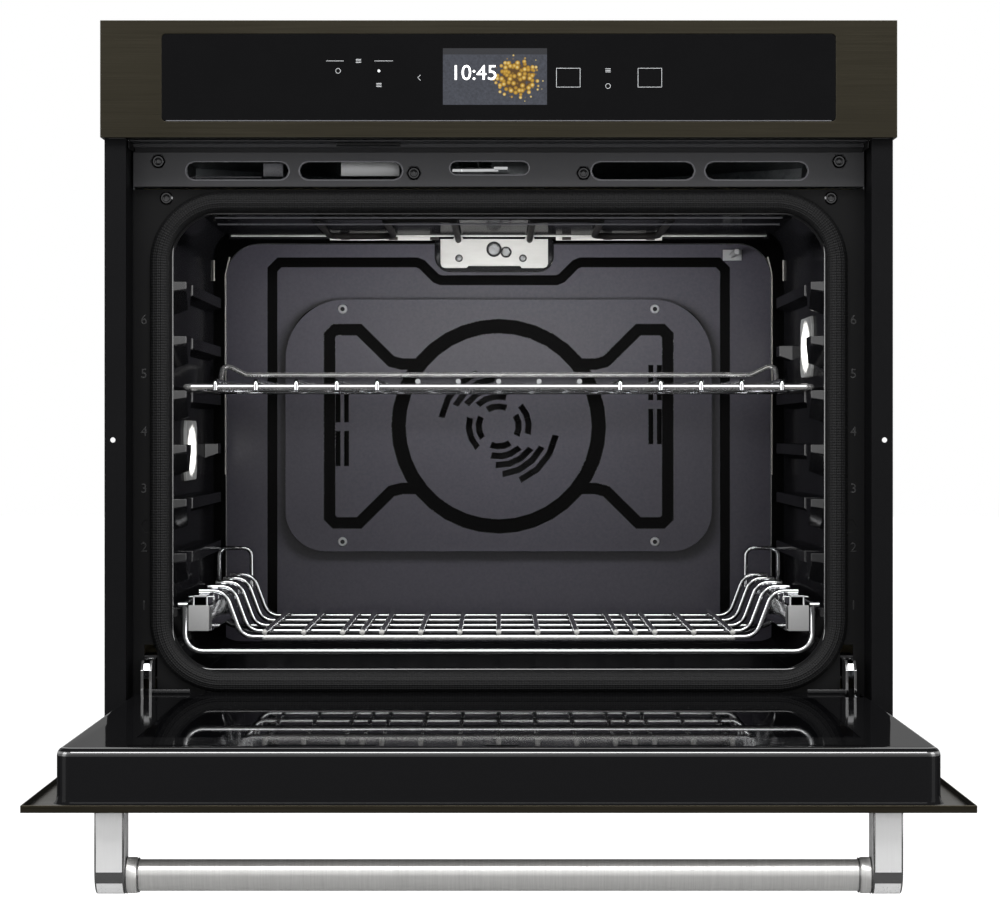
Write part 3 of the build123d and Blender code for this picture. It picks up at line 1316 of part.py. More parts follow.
def arm_profile():
    """Hinge arm in Y and Z: eye at the pin, neck, and tail through the frame."""
    half = ARM_NECK / 2
    tail = PIVOT_Y + ARM_LENGTH
    eye = Pos(PIVOT_Y, PIVOT_Z) * small_round(half)
    neck = outline(
        (PIVOT_Y - half, PIVOT_Z),
        (PIVOT_Y - half, ARM_TOP - half),
        (PIVOT_Y, ARM_TOP),
        (tail, ARM_TOP),
        (tail, ARM_TOP - ARM_NECK),
        (FRAME_FRONT, ARM_TOP - ARM_NECK),
        (PIVOT_Y + half, PIVOT_Z + ARM_NECK),
        (PIVOT_Y + half, PIVOT_Z),
    )
    return eye + neck


def make_hinge_arm(side):
    """Hinge arm: two plates joined by a roller pin, and the pivot pin."""
    left = side * HINGE_X - ARM_WIDTH / 2
    right = side * HINGE_X + ARM_WIDTH / 2
    arm = sideways(arm_profile(), left, ARM_SHEET)
    arm += sideways(arm_profile(), right - ARM_SHEET, ARM_SHEET)
    roller = Pos(PIVOT_Y + 1, ARM_TOP - ARM_NECK / 2) * small_round(ARM_NECK / 3)
    arm += sideways(roller, left, ARM_WIDTH)
    tail = PIVOT_Y + ARM_LENGTH
    arm += span((left, right), (FRAME_BACK + 4, tail), (ARM_TOP - ARM_SHEET, ARM_TOP))
    pin = Pos(PIVOT_Y, PIVOT_Z) * Circle(PIVOT_RADIUS)
    reach = HINGE_SLOT + 2 * CHANNEL_SHEET
    return arm + sideways(pin, side * HINGE_X - reach / 2, reach)


def make_hinge_receiver(side):
    """Steel pocket behind the frame that the arm hooks into."""
    reach = HINGE_SLOT / 2 + GAP
    x = (side * HINGE_X - reach - 2, side * HINGE_X + reach + 2)
    low, high = ARM_TOP - ARM_NECK - GAP, ARM_TOP + GAP
    front = FRAME_BACK + GAP
    block = span(x, (front, front + RECEIVER_DEPTH), (low - 2, high + 2))
    room = span((x[0] + 2, x[1] - 2), (front - 1, front + RECEIVER_DEPTH - 2), (low, high))
    return block - room


def make_hinge_channel(side):
    """Spring channel in the door that turns on the arm's pin."""
    low = LINER_BOTTOM + CHANNEL_LIFT
    half = HINGE_SLOT / 2
    outer = half + CHANNEL_SHEET
    x = side * HINGE_X
    back = PIVOT_Y + CHANNEL_BACK
    channel = span((x - outer, x + outer), (PIVOT_Y - CHANNEL_FRONT, back), (low, low + CHANNEL_HEIGHT))
    inside = (PIVOT_Y - CHANNEL_FRONT + CHANNEL_SHEET, back + 1)
    channel -= span((x - half, x + half), inside, (low - 1, low + CHANNEL_HEIGHT + 1))
    hole = Pos(PIVOT_Y, PIVOT_Z) * Circle(PIVOT_RADIUS + PIVOT_CLEARANCE)
    channel -= sideways(hole, x - outer - 1, 2 * outer + 2)
    spring_low = ARM_TOP + ARM_NECK
    spring_y = PIVOT_Y - CHANNEL_FRONT / 4
    spring = Pos(x, spring_y) * small_round(half - GAP)
    return [channel, lying(spring, spring_low, low + CHANNEL_HEIGHT - spring_low)]


# ---- Door, drawn closed


def opened(shape):
    """Turn a piece of the closed door down to its rest place."""
    pivot = Pos(0, PIVOT_Y, PIVOT_Z)
    back = Pos(0, -PIVOT_Y, -PIVOT_Z)
    return pivot * Rot(DOOR_REST_ANGLE, 0, 0) * back * shape


def make_door_skin():
    """Outer skin with folded edges and the window's opening."""
    half = FACE_WIDTH / 2
    skin = span((-half, half), (-FACE_PROUD, SKIN_BACK), (DOOR_BOTTOM, DOOR_TOP))
    wall = SKIN_SHEET
    room_z = (DOOR_BOTTOM + wall, DOOR_TOP - wall)
    skin -= span((wall - half, half - wall), (wall - FACE_PROUD, SKIN_BACK + 1), room_z)
    mouth = Pos(0, WINDOW_MIDDLE_Z) * RectangleRounded(WINDOW_WIDTH, WINDOW_HEIGHT, WINDOW_CORNER)
    return skin - upright(mouth, -FACE_PROUD - 1, wall + 2)


def make_door_window():
    """Outer glass behind the skin."""
    size = (WINDOW_WIDTH + 2 * WINDOW_LAP, WINDOW_HEIGHT + 2 * WINDOW_LAP)
    pane = Pos(0, WINDOW_MIDDLE_Z) * Rectangle(*size)
    return upright(pane, SKIN_SHEET + GAP - FACE_PROUD, WINDOW_GLASS)


def liner_block():
    """The liner's outer form, with a rounded edge."""
    half = LINER_HALF_WIDTH
    seat = SKIN_SHEET + GAP - FACE_PROUD
    body = span((-half, half), (seat, LINER_FACE), (LINER_BOTTOM, LINER_TOP))
    return fillet(body.faces().sort_by(Axis.Y)[-1].edges(), LINER_EDGE)


def liner_room():
    """The room inside the liner, with cut corners and edge."""
    half = LINER_HALF_WIDTH - LINER_SHEET
    low, high = LINER_BOTTOM + LINER_SHEET, LINER_TOP - LINER_SHEET
    cut = LINER_EDGE * 0.5
    body = span((-half, half), (-FACE_PROUD, LINER_FACE - LINER_SHEET), (low, high))
    body = chamfer(body.edges().filter_by(Axis.Y), cut)
    return chamfer(body.faces().sort_by(Axis.Y)[-1].edges(), cut)


def make_door_liner():
    """Enamelled inner pan of the door, with air slots, latch hole and hinge notches."""
    pan = liner_block() - liner_room()
    place = Pos(0, WINDOW_MIDDLE_Z)
    cuts = place * Rectangle(INNER_GLASS_WIDTH + 2 * GAP, INNER_GLASS_HEIGHT + 2 * GAP)
    for x in vent_slot_places():
        cuts += Pos(x, VENT_SLOT_Z) * obround(VENT_SLOT_LENGTH - LINER_SLOT_LESS, LINER_SLOT_HEIGHT)
    cuts += Pos(LINER_LATCH_X, LATCH_SLOT_Z) * obround(LINER_LATCH_WIDTH, LINER_LATCH_HEIGHT)
    for side in (-1, 1):
        low, high = LINER_BOTTOM - 1, ARM_TOP + ARM_NECK / 4
        cuts += Pos(side * HINGE_X, (low + high) / 2) * Rectangle(HINGE_SLOT, high - low)
    depth = LINER_EDGE + LINER_SHEET
    return pan - upright(cuts, LINER_FACE - depth, depth + 1)


def make_inner_glass():
    """Inner glass, flush with the liner's face."""
    pane = Rectangle(INNER_GLASS_WIDTH, INNER_GLASS_HEIGHT)
    return upright(Pos(0, WINDOW_MIDDLE_Z) * pane, LINER_FACE - INNER_GLASS, INNER_GLASS)


def glass_frame_front():
    """Y of the glazing frame's front."""
    return LINER_FACE - INNER_GLASS - GAP - GLASS_FRAME_DEPTH


def make_glass_frame():
    """Steel glazing frame that clamps the inner glass and holds the middle one."""
    width, height = INNER_GLASS_WIDTH + 2 * GLASS_FRAME_LAP, INNER_GLASS_HEIGHT + 2 * GLASS_FRAME_LAP
    place = Pos(0, WINDOW_MIDDLE_Z)
    ring = place * (
        Rectangle(width, height)
        - Rectangle(width - 4 * GLASS_FRAME_WIDTH, height - 4 * GLASS_FRAME_WIDTH)
    )
    frame = upright(ring, glass_frame_front(), GLASS_FRAME_DEPTH)
    seat = place * Rectangle(width - 2 * GLASS_FRAME_WIDTH, height - 2 * GLASS_FRAME_WIDTH)
    return frame - upright(seat, glass_frame_front() - 1, GLASS_FRAME_DEPTH / 2 + 1)


def make_middle_glass():
    """Middle pane in the glazing frame."""
    inset = 2 * (GLASS_FRAME_WIDTH + GAP - GLASS_FRAME_LAP)
    width, height = INNER_GLASS_WIDTH - inset, INNER_GLASS_HEIGHT - inset
    pane = Pos(0, WINDOW_MIDDLE_Z) * Rectangle(width, height)
    front = glass_frame_front() + GLASS_FRAME_DEPTH / 2 - GAP - MIDDLE_GLASS
    return upright(pane, front, MIDDLE_GLASS)


# ---- Handle


def handle_axis():
    """Y and Z of the handle bar's axis on the closed door."""
    return -FACE_PROUD - HANDLE_STANDOFF, DOOR_TOP - HANDLE_BELOW_TOP


def make_handle_bar():
    """Round bar with a collar at each end."""
    place = Pos(*handle_axis())
    half = BRACKET_INNER - GAP
    bar = sideways(place * Circle(HANDLE_RADIUS), -half, 2 * half)
    bar += sideways(place * Circle(COLLAR_RADIUS), -half, COLLAR_LENGTH)
    return bar + sideways(place * Circle(COLLAR_RADIUS), half - COLLAR_LENGTH, COLLAR_LENGTH)


def make_handle_bracket(side):
    """Solid end bracket between the door and the bar."""
    y, z = handle_axis()
    front = y - BRACKET_BEYOND
    length = -FACE_PROUD - GAP - front
    profile = Pos(front + length / 2, z) * Rectangle(length, BRACKET_HEIGHT)
    left = BRACKET_INNER if side > 0 else -BRACKET_INNER - BRACKET_WIDTH
    block = sideways(profile, left, BRACKET_WIDTH)
    far_edges = block.faces().sort_by(Axis.Y)[0].edges().filter_by(Axis.X)
    return fillet(far_edges, BRACKET_EDGE)


# ---- Flat rack


def make_flat_rack():
    """Chrome rack: side rods with a raised rear rail, cross rods and wires on top."""
    x, z = RACK_ROD_X, RACK_Z
    corner, rail = z + RACK_CORNER_RISE, z + RACK_RAIL_RISE
    side = [
        (x, RACK_FRONT + RACK_ROD, z),
        (x, RACK_REAR - RACK_CORNER_RISE, z),
        (x, RACK_REAR, corner),
        (x - RACK_CORNER_FLAT, RACK_REAR, corner),
        (x - RACK_CORNER_END, RACK_REAR, rail),
    ]
    points = side + [(-px, py, pz) for px, py, pz in reversed(side)]
    rack = [rod(points, RACK_ROD, RACK_BEND)]
    rack.append(wire_along_x(RACK_FRONT, z, -x - RACK_ROD - 1, x + RACK_ROD + 1, RACK_ROD))
    last = RACK_REAR - 2 * RACK_CORNER_RISE
    for y in ((RACK_FRONT + RACK_REAR) / 2, last):
        rack.append(wire_along_x(y, z, RACK_ROD - x, x - RACK_ROD, RACK_ROD))
    wire_z = z + RACK_ROD + RACK_WIRE
    tip = RACK_FRONT - RACK_ROD - RACK_WIRE
    back = last + 2 * RACK_ROD
    for step in range(RACK_WIRES):
        place = step - (RACK_WIRES - 1) / 2
        wire_x = place * RACK_PITCH
        if abs(place) <= (RACK_PLAIN_WIRES - 1) / 2:
            rack.append(wire_along_y(wire_x, wire_z, RACK_FRONT - RACK_ROD, back, RACK_WIRE))
        else:
            hooked = [(wire_x, back, wire_z), (wire_x, tip, wire_z), (wire_x, tip, z - RACK_ROD)]
            rack.append(rod(hooked, RACK_WIRE))
    return rack


# ---- Roll-out rack


def make_rack_frame():
    """Fixed frame of the roll-out rack: two U-shaped rods, pins and side rods."""
    x = RACK_ROD_X
    top = PIN_Z - FRAME_ROD
    frame = []
    for y in (FRAME_U_Y, FRAME_REAR_U_Y):
        points = [(-x, y, top), (-x, y, FRAME_U_BOTTOM), (x, y, FRAME_U_BOTTOM), (x, y, top)]
        frame.append(rod(points, FRAME_ROD, FRAME_U_BEND))
        for left in (-x - 2 * FRAME_ROD, x - FRAME_ROD):
            frame.append(wire_along_x(y, PIN_Z, left, left + 3 * FRAME_ROD, FRAME_ROD))
    for side in (-1, 1):
        front, back = FRAME_U_Y + FRAME_ROD, FRAME_REAR_U_Y - FRAME_ROD
        frame.append(wire_along_y(side * x, PIN_Z, front, back, FRAME_ROD))
    return frame


def slide_channel(side, step):
    """One U-shaped member of a telescopic slide: 0 is the outer, 1 the middle."""
    inset = step * (SLIDE_SHEET + SLIDE_PLAY)
    outer, inner = SLIDE_OUTER - inset, SLIDE_OUTER - SLIDE_WIDTH + inset
    low, high = SLIDE_BOTTOM + inset, SLIDE_BOTTOM + SLIDE_HEIGHT - step * SLIDE_SHEET
    y = (SLIDE_FRONT, SLIDE_FRONT + SLIDE_LENGTH)
    channel = span((inner, outer), y, (low, high))
    room = (inner + SLIDE_SHEET, outer - SLIDE_SHEET)
    channel -= span(room, (y[0] - 1, y[1] + 1), (low + SLIDE_SHEET, high + 1))
    return channel if side > 0 else mirror(channel, about=Plane.YZ)


def shelf_rail():
    """Inner member of the right slide, with its front cap, fixed to the shelf."""
    inset = 2 * (SLIDE_SHEET + SLIDE_PLAY)
    outer, inner = SLIDE_OUTER - inset, SLIDE_OUTER - SLIDE_WIDTH + inset
    top = SHELF_TOP - SHELF_WIRE
    y = (SLIDE_FRONT, SLIDE_FRONT + SLIDE_LENGTH)
    rail = span((inner, outer), y, (SLIDE_BOTTOM + inset, top))
    room = (inner + SLIDE_SHEET, outer - SLIDE_SHEET)
    rail -= span(room, (y[0] - 1, y[1] + 1), (SLIDE_BOTTOM, top - SLIDE_SHEET))
    cap_y = (SLIDE_FRONT - GAP - CAP_THICKNESS, SLIDE_FRONT - GAP)
    high = SLIDE_BOTTOM + SLIDE_HEIGHT
    cap = span((SLIDE_OUTER - SLIDE_WIDTH, SLIDE_OUTER), cap_y, (SLIDE_BOTTOM, high))
    neck = span((inner, outer), (cap_y[1] - 1, SLIDE_FRONT), (SLIDE_BOTTOM + inset, high))
    return rail + cap + neck


def make_sliding_shelf():
    """Sliding shelf: dropped cross wires, wires along them, and the inner rails."""
    rail = shelf_rail()
    shelf = [rail, mirror(rail, about=Plane.YZ)]
    step = (SHELF_LAST_CROSS - SHELF_FIRST_CROSS) / (SHELF_CROSS_WIRES - 1)
    for number in range(SHELF_CROSS_WIRES):
        y = SHELF_FIRST_CROSS + number * step
        insets = (SHELF_SHOULDER_INSET, SHELF_SHOULDER_END, SHELF_DROP_END)
        levels = (SHELF_TOP, SHELF_TOP, SHELF_LOW)
        half = [(SLIDE_OUTER - inset, y, z) for inset, z in zip(insets, levels)]
        points = half + [(-px, py, pz) for px, py, pz in reversed(half)]
        shelf.append(rod(points, SHELF_WIRE, SHELF_BEND))
    wire_z = SHELF_LOW + 2 * SHELF_WIRE
    front, back = SHELF_FIRST_CROSS - SHELF_OVERHANG, SHELF_LAST_CROSS + SHELF_OVERHANG
    places = sorted({side * step * SHELF_PITCH for step in SHELF_WIRE_STEPS for side in (-1, 1)})
    for x in places:
        shelf.append(wire_along_y(x, wire_z, front, back, SHELF_WIRE))
    return shelf


# ---- Screws


def screw(x, z, seat, length):
    """Pan-head screw that enters towards the back from its seat."""
    place = Pos(x, z)
    head = upright(place * small_round(SCREW_HEAD), seat - SCREW_HEAD_HEIGHT, SCREW_HEAD_HEIGHT)
    return head + upright(place * small_round(SCREW_SHANK), seat, length)


def make_chassis_screws():
    """Screws of the vent trim and the front frame."""
    seat = VENT_FRONT + screw_cup_depth()
    found = [screw(x, z, seat, SCREW_LENGTH) for x, z in vent_screw_places()]
    found += [screw(x, z, FRAME_FRONT, SCREW_LENGTH) for x, z in frame_screw_places()]
    return found


def make_baffle_screws():
    """Screws of the fan baffle."""
    length = BAFFLE_STANDOFF + ENAMEL_SHEET
    return [screw(x, z, BAFFLE_FRONT, length) for x, z in baffle_screw_places()]


def main():
    """Write every node."""
    os.makedirs("parts", exist_ok=True)
    save("base_pan", make_base_pan())
    save("side_panel_left", make_side_panel(-1))
    save("side_panel_right", make_side_panel(1))
    save("top_panel", make_top_panel())
    save("rear_panel", make_rear_panel())
    save("terminal_box", make_terminal_box())
    save("front_frame", make_front_frame())
    save("door_gasket", make_gasket())
    save("cavity_wall_left", make_cavity_wall(-1))
    save("cavity_wall_right", make_cavity_wall(1))
    save("cavity_floor", make_cavity_floor())
    save("cavity_ceiling", make_cavity_ceiling())
    save("cavity_back", make_cavity_back())
    save("insulation_blanket", make_insulation())
    save("oven_lamp_left", make_lamp(-1))
    save("oven_lamp_right", make_lamp(1))
    save("fan_baffle", make_fan_baffle())
    save("convection_fan", make_fan())
    save("convection_motor", make_fan_motor())
    save("convection_element", make_ring_heater())
    save("broil_element", make_broil_element())
    save("broil_reflector", make_reflector())
    save("bake_element", make_bake_element())
    save("attachment_hub_plate", make_hub_plate())
    save("temperature_probe", make_probe())
    save("vent_trim", make_vent_trim())
    save("air_duct", make_air_duct())
    save("blower_housing", make_blower_housing())
    save("blower_wheel", make_blower_wheel())
    save("blower_motor", make_blower_motor())
    save("lower_vent_trim", make_lower_trim())
    save("side_trim_left", make_side_trim(-1))
    save("side_trim_right", make_side_trim(1))
    save("control_fascia", make_fascia())
    save("control_glass", make_control_glass())
    save("display_module", make_display_module())
    save("control_shelf", make_control_shelf())
    save("control_board", make_control_board())
    save("latch_motor", make_latch_motor())
    save("latch_hook", make_latch_hook())
    save("hinge_arm_left", make_hinge_arm(-1))
    save("hinge_arm_right", make_hinge_arm(1))
    save("hinge_receivers", make_hinge_receiver(-1), make_hinge_receiver(1))
    channels = make_hinge_channel(-1) + make_hinge_channel(1)
    save("hinge_channels", [opened(solid) for solid in channels])
    save("door_skin", opened(make_door_skin()))
    save("door_window", opened(make_door_window()))
    save("door_liner", opened(make_door_liner()))
    save("door_inner_glass", opened(make_inner_glass()))
    save("door_middle_glass", opened(make_middle_glass()))
    save("door_glass_frame", opened(make_glass_frame()))
    save("handle_bar", opened(make_handle_bar()))
    save("handle_bracket_left", opened(make_handle_bracket(-1)))
    save("handle_bracket_right", opened(make_handle_bracket(1)))
    save("flat_rack", make_flat_rack())
    save("rack_frame", make_rack_frame())
    save("outer_slides", slide_channel(-1, 0), slide_channel(1, 0))
    save("mid_slides", slide_channel(-1, 1), slide_channel(1, 1))
    save("sliding_shelf", make_sliding_shelf())
    save("chassis_screws", make_chassis_screws())
    save("baffle_screws", make_baffle_screws())


main()
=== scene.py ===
"""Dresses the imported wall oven: finishes for its sheet metal and round stand-ins for its wires."""

import logging
import math
from dataclasses import dataclass, field
from enum import Enum
from typing import Any, Optional, Sequence, Union

import bmesh
import bpy
from mathutils import Matrix, Vector


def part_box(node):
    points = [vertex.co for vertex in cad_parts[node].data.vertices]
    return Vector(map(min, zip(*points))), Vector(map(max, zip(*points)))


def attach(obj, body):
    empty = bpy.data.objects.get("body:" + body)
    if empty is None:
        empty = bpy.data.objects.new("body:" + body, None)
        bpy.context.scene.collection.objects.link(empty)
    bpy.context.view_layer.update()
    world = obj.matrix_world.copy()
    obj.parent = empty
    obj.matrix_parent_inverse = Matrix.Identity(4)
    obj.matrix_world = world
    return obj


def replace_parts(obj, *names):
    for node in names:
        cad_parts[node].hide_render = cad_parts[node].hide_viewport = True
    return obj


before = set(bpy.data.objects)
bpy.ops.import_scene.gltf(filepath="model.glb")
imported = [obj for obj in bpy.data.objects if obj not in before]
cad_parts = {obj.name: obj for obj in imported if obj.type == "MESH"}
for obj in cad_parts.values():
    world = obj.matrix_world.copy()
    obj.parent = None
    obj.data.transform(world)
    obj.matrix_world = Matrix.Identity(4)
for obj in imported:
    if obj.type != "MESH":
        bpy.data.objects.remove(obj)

MM = 0.001
LOG = logging.getLogger("oven")
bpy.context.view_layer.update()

Point = tuple[float, float, float]
Flat = tuple[float, float]
Four = tuple[float, float, float, float]
Socket = bpy.types.NodeSocket
Node = bpy.types.Node
Tree = bpy.types.NodeTree
Piece = bpy.types.Object
Mesh = bpy.types.Mesh


# ---- Small helpers


def linear(colour: str) -> Four:
    """Turn an sRGB hex colour into linear light.

    Args:
        colour: Six hex digits after a hash.

    Returns:
        Linear red, green, blue and an alpha of one.
    """
    parts = [int(colour[start : start + 2], 16) / 255 for start in (1, 3, 5)]
    light = [c / 12.92 if c <= 0.04045 else ((c + 0.055) / 1.055) ** 2.4 for c in parts]
    return (light[0], light[1], light[2], 1.0)


def add_node(
    tree: Tree,
    kind: str,
    settings: Optional[dict[Any, Any]] = None,
    links: Optional[dict[Any, Union[Socket, Node]]] = None,
) -> Node:
    """Add a node with its settings and its incoming links.

    Args:
        tree: Node tree that gets the node.
        kind: Blender's type name of the node, without the tree's own prefix.
        settings: Values by input name or number, or by the node's own attribute.
        links: What feeds each input, by its name or number. A node stands for its first output.

    Returns:
        The new node.
    """
    node = tree.nodes.new(tree.bl_idname.removesuffix("Tree") + kind)
    for name, value in (settings or {}).items():
        if isinstance(name, int) or name in node.inputs:
            node.inputs[name].default_value = value
        else:
            setattr(node, name, value)
    for name, source in (links or {}).items():
        socket = source.outputs[0] if isinstance(source, Node) else source
        tree.links.new(socket, node.inputs[name])
    return node


def size(node: str) -> tuple[Vector, Vector]:
    """Lowest and highest corner of a CAD node, in millimetres."""
    low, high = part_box(node)
    return low / MM, high / MM


def metres(spot: Sequence[float]) -> tuple[float, ...]:
    """Turn millimetres into metres."""
    return tuple(value * MM for value in spot)


# ---- Finishes


@dataclass(frozen=True)
class Finish:
    """A surface finish that makes its material once.

    Attributes:
        name: Common name of the material and how its surface was made.
    """

    name: str

    def material(self) -> bpy.types.Material:
        """Return the finish's material, made on the first call."""
        made = bpy.data.materials.get(self.name)
        if made:
            return made
        made = bpy.data.materials.new(self.name)
        made.use_nodes = True
        tree = made.node_tree
        tree.nodes.clear()
        shader = self.surface(tree, add_node(tree, "TexCoord"))
        add_node(tree, "OutputMaterial", links={"Surface": shader})
        return made

    def surface(self, tree: Tree, place: Node) -> Node:
        """Build the shader.

        Args:
            tree: The material's node tree.
            place: Its Texture Coordinate node.

        Returns:
            The shader's node.
        """
        raise NotImplementedError


@dataclass(frozen=True)
class Grained(Finish):
    """Two close tones in a grain, with a roughness that drifts and a fine bump.

    Attributes:
        dark: sRGB colour of the grain's dark parts.
        light: sRGB colour of its light parts.
        metallic: One for bare metal.
        rough: Lowest and highest roughness.
        grain: Size of the grain along X, Y and Z in millimetres.
        relief: Height of the grain in millimetres.
        blotch: Size in millimetres of the slow change in roughness.
        coat: Weight of a clear coat.
        ior: Index of refraction, for anything but metal.
        glow: Strength of its own light.
    """

    dark: str = "#202020"
    light: str = "#2a2a2a"
    metallic: float = 0.0
    rough: Flat = (0.3, 0.4)
    grain: Point = (1.0, 1.0, 1.0)
    relief: float = 0.02
    blotch: float = 60.0
    coat: float = 0.0
    ior: float = 1.5
    glow: float = 0.0

    def surface(self, tree: Tree, place: Node) -> Node:
        """Build the grained shader; see Finish."""
        where = place.outputs["Object"]
        scale = tuple(1 / (side * MM) for side in self.grain)
        stretched = add_node(tree, "Mapping", {"Scale": scale}, {"Vector": where})
        noise = {"Scale": 1.0, "Detail": 3.0, "Roughness": 0.6}
        grain = add_node(tree, "TexNoise", noise, {"Vector": stretched})
        slow = {"Scale": 1 / (self.blotch * MM), "Detail": 2.0}
        drift = add_node(tree, "TexNoise", slow, {"Vector": where})
        tones = {"data_type": "RGBA", 6: linear(self.dark), 7: linear(self.light)}
        colour = add_node(tree, "Mix", tones, {0: grain})
        both = add_node(tree, "Math", {"operation": "ADD"}, {0: grain, 1: drift})
        limits = {1: 0.6, 2: 1.4, 3: self.rough[0], 4: self.rough[1]}
        rough = add_node(tree, "MapRange", limits, {0: both})
        bump = {"Strength": 0.6, "Distance": self.relief * MM}
        normal = add_node(tree, "Bump", bump, {"Height": grain})
        settings = {
            "Metallic": self.metallic,
            "Coat Weight": self.coat,
            "Emission Color": linear(self.light),
            "Emission Strength": self.glow,
        }
        if not self.metallic:
            settings["IOR"] = self.ior
        links = {"Base Color": colour.outputs[2], "Roughness": rough, "Normal": normal}
        return add_node(tree, "BsdfPrincipled", settings, links)


@dataclass(frozen=True)
class Braid(Finish):
    """Woven fibreglass sleeve: rows of raised strands that follow the piece's own UV map.

    Attributes:
        strand: Length and width of one raised stitch in millimetres.
    """

    strand: Flat = (2.6, 2.2)

    def surface(self, tree: Tree, place: Node) -> Node:
        """Build the woven shader; see Finish."""
        scale = (1 / (self.strand[0] * MM), 1 / (self.strand[1] * MM), 1.0)
        mapped = add_node(tree, "Mapping", {"Scale": scale}, {"Vector": place.outputs["UV"]})
        cells = {"Scale": 1.0, "Randomness": 0.12, "voronoi_dimensions": "2D"}
        weave = add_node(tree, "TexVoronoi", cells, {"Vector": mapped})
        raised = add_node(tree, "MapRange", {1: 0.15, 2: 0.75, 3: 1.0, 4: 0.0}, {0: weave})
        tones = {"data_type": "RGBA", 6: linear("#050506"), 7: linear("#121213")}
        colour = add_node(tree, "Mix", tones, {0: raised})
        bump = {"Strength": 0.9, "Distance": 0.5 * MM}
        normal = add_node(tree, "Bump", bump, {"Height": raised})
        links = {"Base Color": colour.outputs[2], "Normal": normal}
        return add_node(tree, "BsdfPrincipled", {"Roughness": 0.62, "IOR": 1.35}, links)


@dataclass(frozen=True)
class ClearGlass(Finish):
    """Float glass with a faint tint.

    Attributes:
        tint: sRGB colour of the glass.
    """

    tint: str = "#dfe6e4"

    def surface(self, tree: Tree, place: Node) -> Node:
        """Build the glass shader; see Finish."""
        waves = {"Scale": 1 / (90 * MM), "Detail": 1.0}
        noise = add_node(tree, "TexNoise", waves, {"Vector": place.outputs["Object"]})
        rough = add_node(tree, "MapRange", {1: 0.3, 2: 0.7, 3: 0.0, 4: 0.03}, {0: noise})
        settings = {"Base Color": linear(self.tint), "Transmission Weight": 1.0, "IOR": 1.5}
        return add_node(tree, "BsdfPrincipled", settings, {"Roughness": rough})


@dataclass(frozen=True)
class DisplayGlow(Finish):
    """Lit picture of the display: golden seeds scattered on dark slate planks.

    Attributes:
        across: Width and height of the picture in millimetres.
        middle: X and Z of its middle in millimetres.
    """

    across: Flat = (99.0, 54.0)
    middle: Flat = (0.0, 0.0)

    def surface(self, tree: Tree, place: Node) -> Node:
        """Build the lit shader; see Finish."""
        where = place.outputs["Object"]
        split = add_node(tree, "SeparateXYZ", links={0: where})
        fine = {"Scale": 1 / (2.2 * MM), "Detail": 4.0, "Roughness": 0.7}
        stone = add_node(tree, "TexNoise", fine, {"Vector": where})
        tones = {"data_type": "RGBA", 6: linear("#17181d"), 7: linear("#565a66")}
        slate = add_node(tree, "Mix", tones, {0: stone})
        cells = {"Scale": 1 / (4.4 * MM), "Randomness": 0.85}
        seeds = add_node(tree, "TexVoronoi", cells, {"Vector": where})
        ramp = add_node(tree, "ValToRGB", links={0: seeds})
        stops = ramp.color_ramp.elements
        stops[0].color, stops[1].color = linear("#f3e3a0"), linear("#5a3d08")
        stops[1].position = 0.62
        stops.new(0.34).color = linear("#c99a2c")
        centre = (self.middle[0] + 0.21 * self.across[0], self.middle[1] - 0.02 * self.across[1])
        offset = {"operation": "ADD", 1: (-centre[0] * MM, 0.0, -centre[1] * MM)}
        shifted = add_node(tree, "VectorMath", offset, {0: where})
        scale = (1 / (22 * MM), 0.0, 1 / (20 * MM))
        squashed = add_node(tree, "Mapping", {"Scale": scale}, {"Vector": shifted})
        reach = add_node(tree, "VectorMath", {"operation": "LENGTH"}, {0: squashed})
        links = {0: seeds, 2: reach.outputs["Value"]}
        ragged = add_node(tree, "Math", {"operation": "MULTIPLY_ADD", 1: 0.9}, links)
        edge = add_node(tree, "MapRange", {1: 1.2, 2: 1.35, 3: 1.0, 4: 0.0}, {0: ragged})
        links = {0: edge, 6: slate.outputs[2], 7: ramp}
        heap = add_node(tree, "Mix", {"data_type": "RGBA"}, links)
        bar = (self.middle[1] + 0.39 * self.across[1]) * MM
        band = add_node(tree, "Math", {"operation": "GREATER_THAN", 1: bar}, {0: split.outputs[2]})
        header = {"data_type": "RGBA", 7: linear("#2a2b30")}
        picture = add_node(tree, "Mix", header, {0: band, 6: heap.outputs[2]})
        settings = {"Base Color": linear("#050505"), "Roughness": 0.08, "Emission Strength": 0.9}
        return add_node(tree, "BsdfPrincipled", settings, {"Emission Color": picture.outputs[2]})


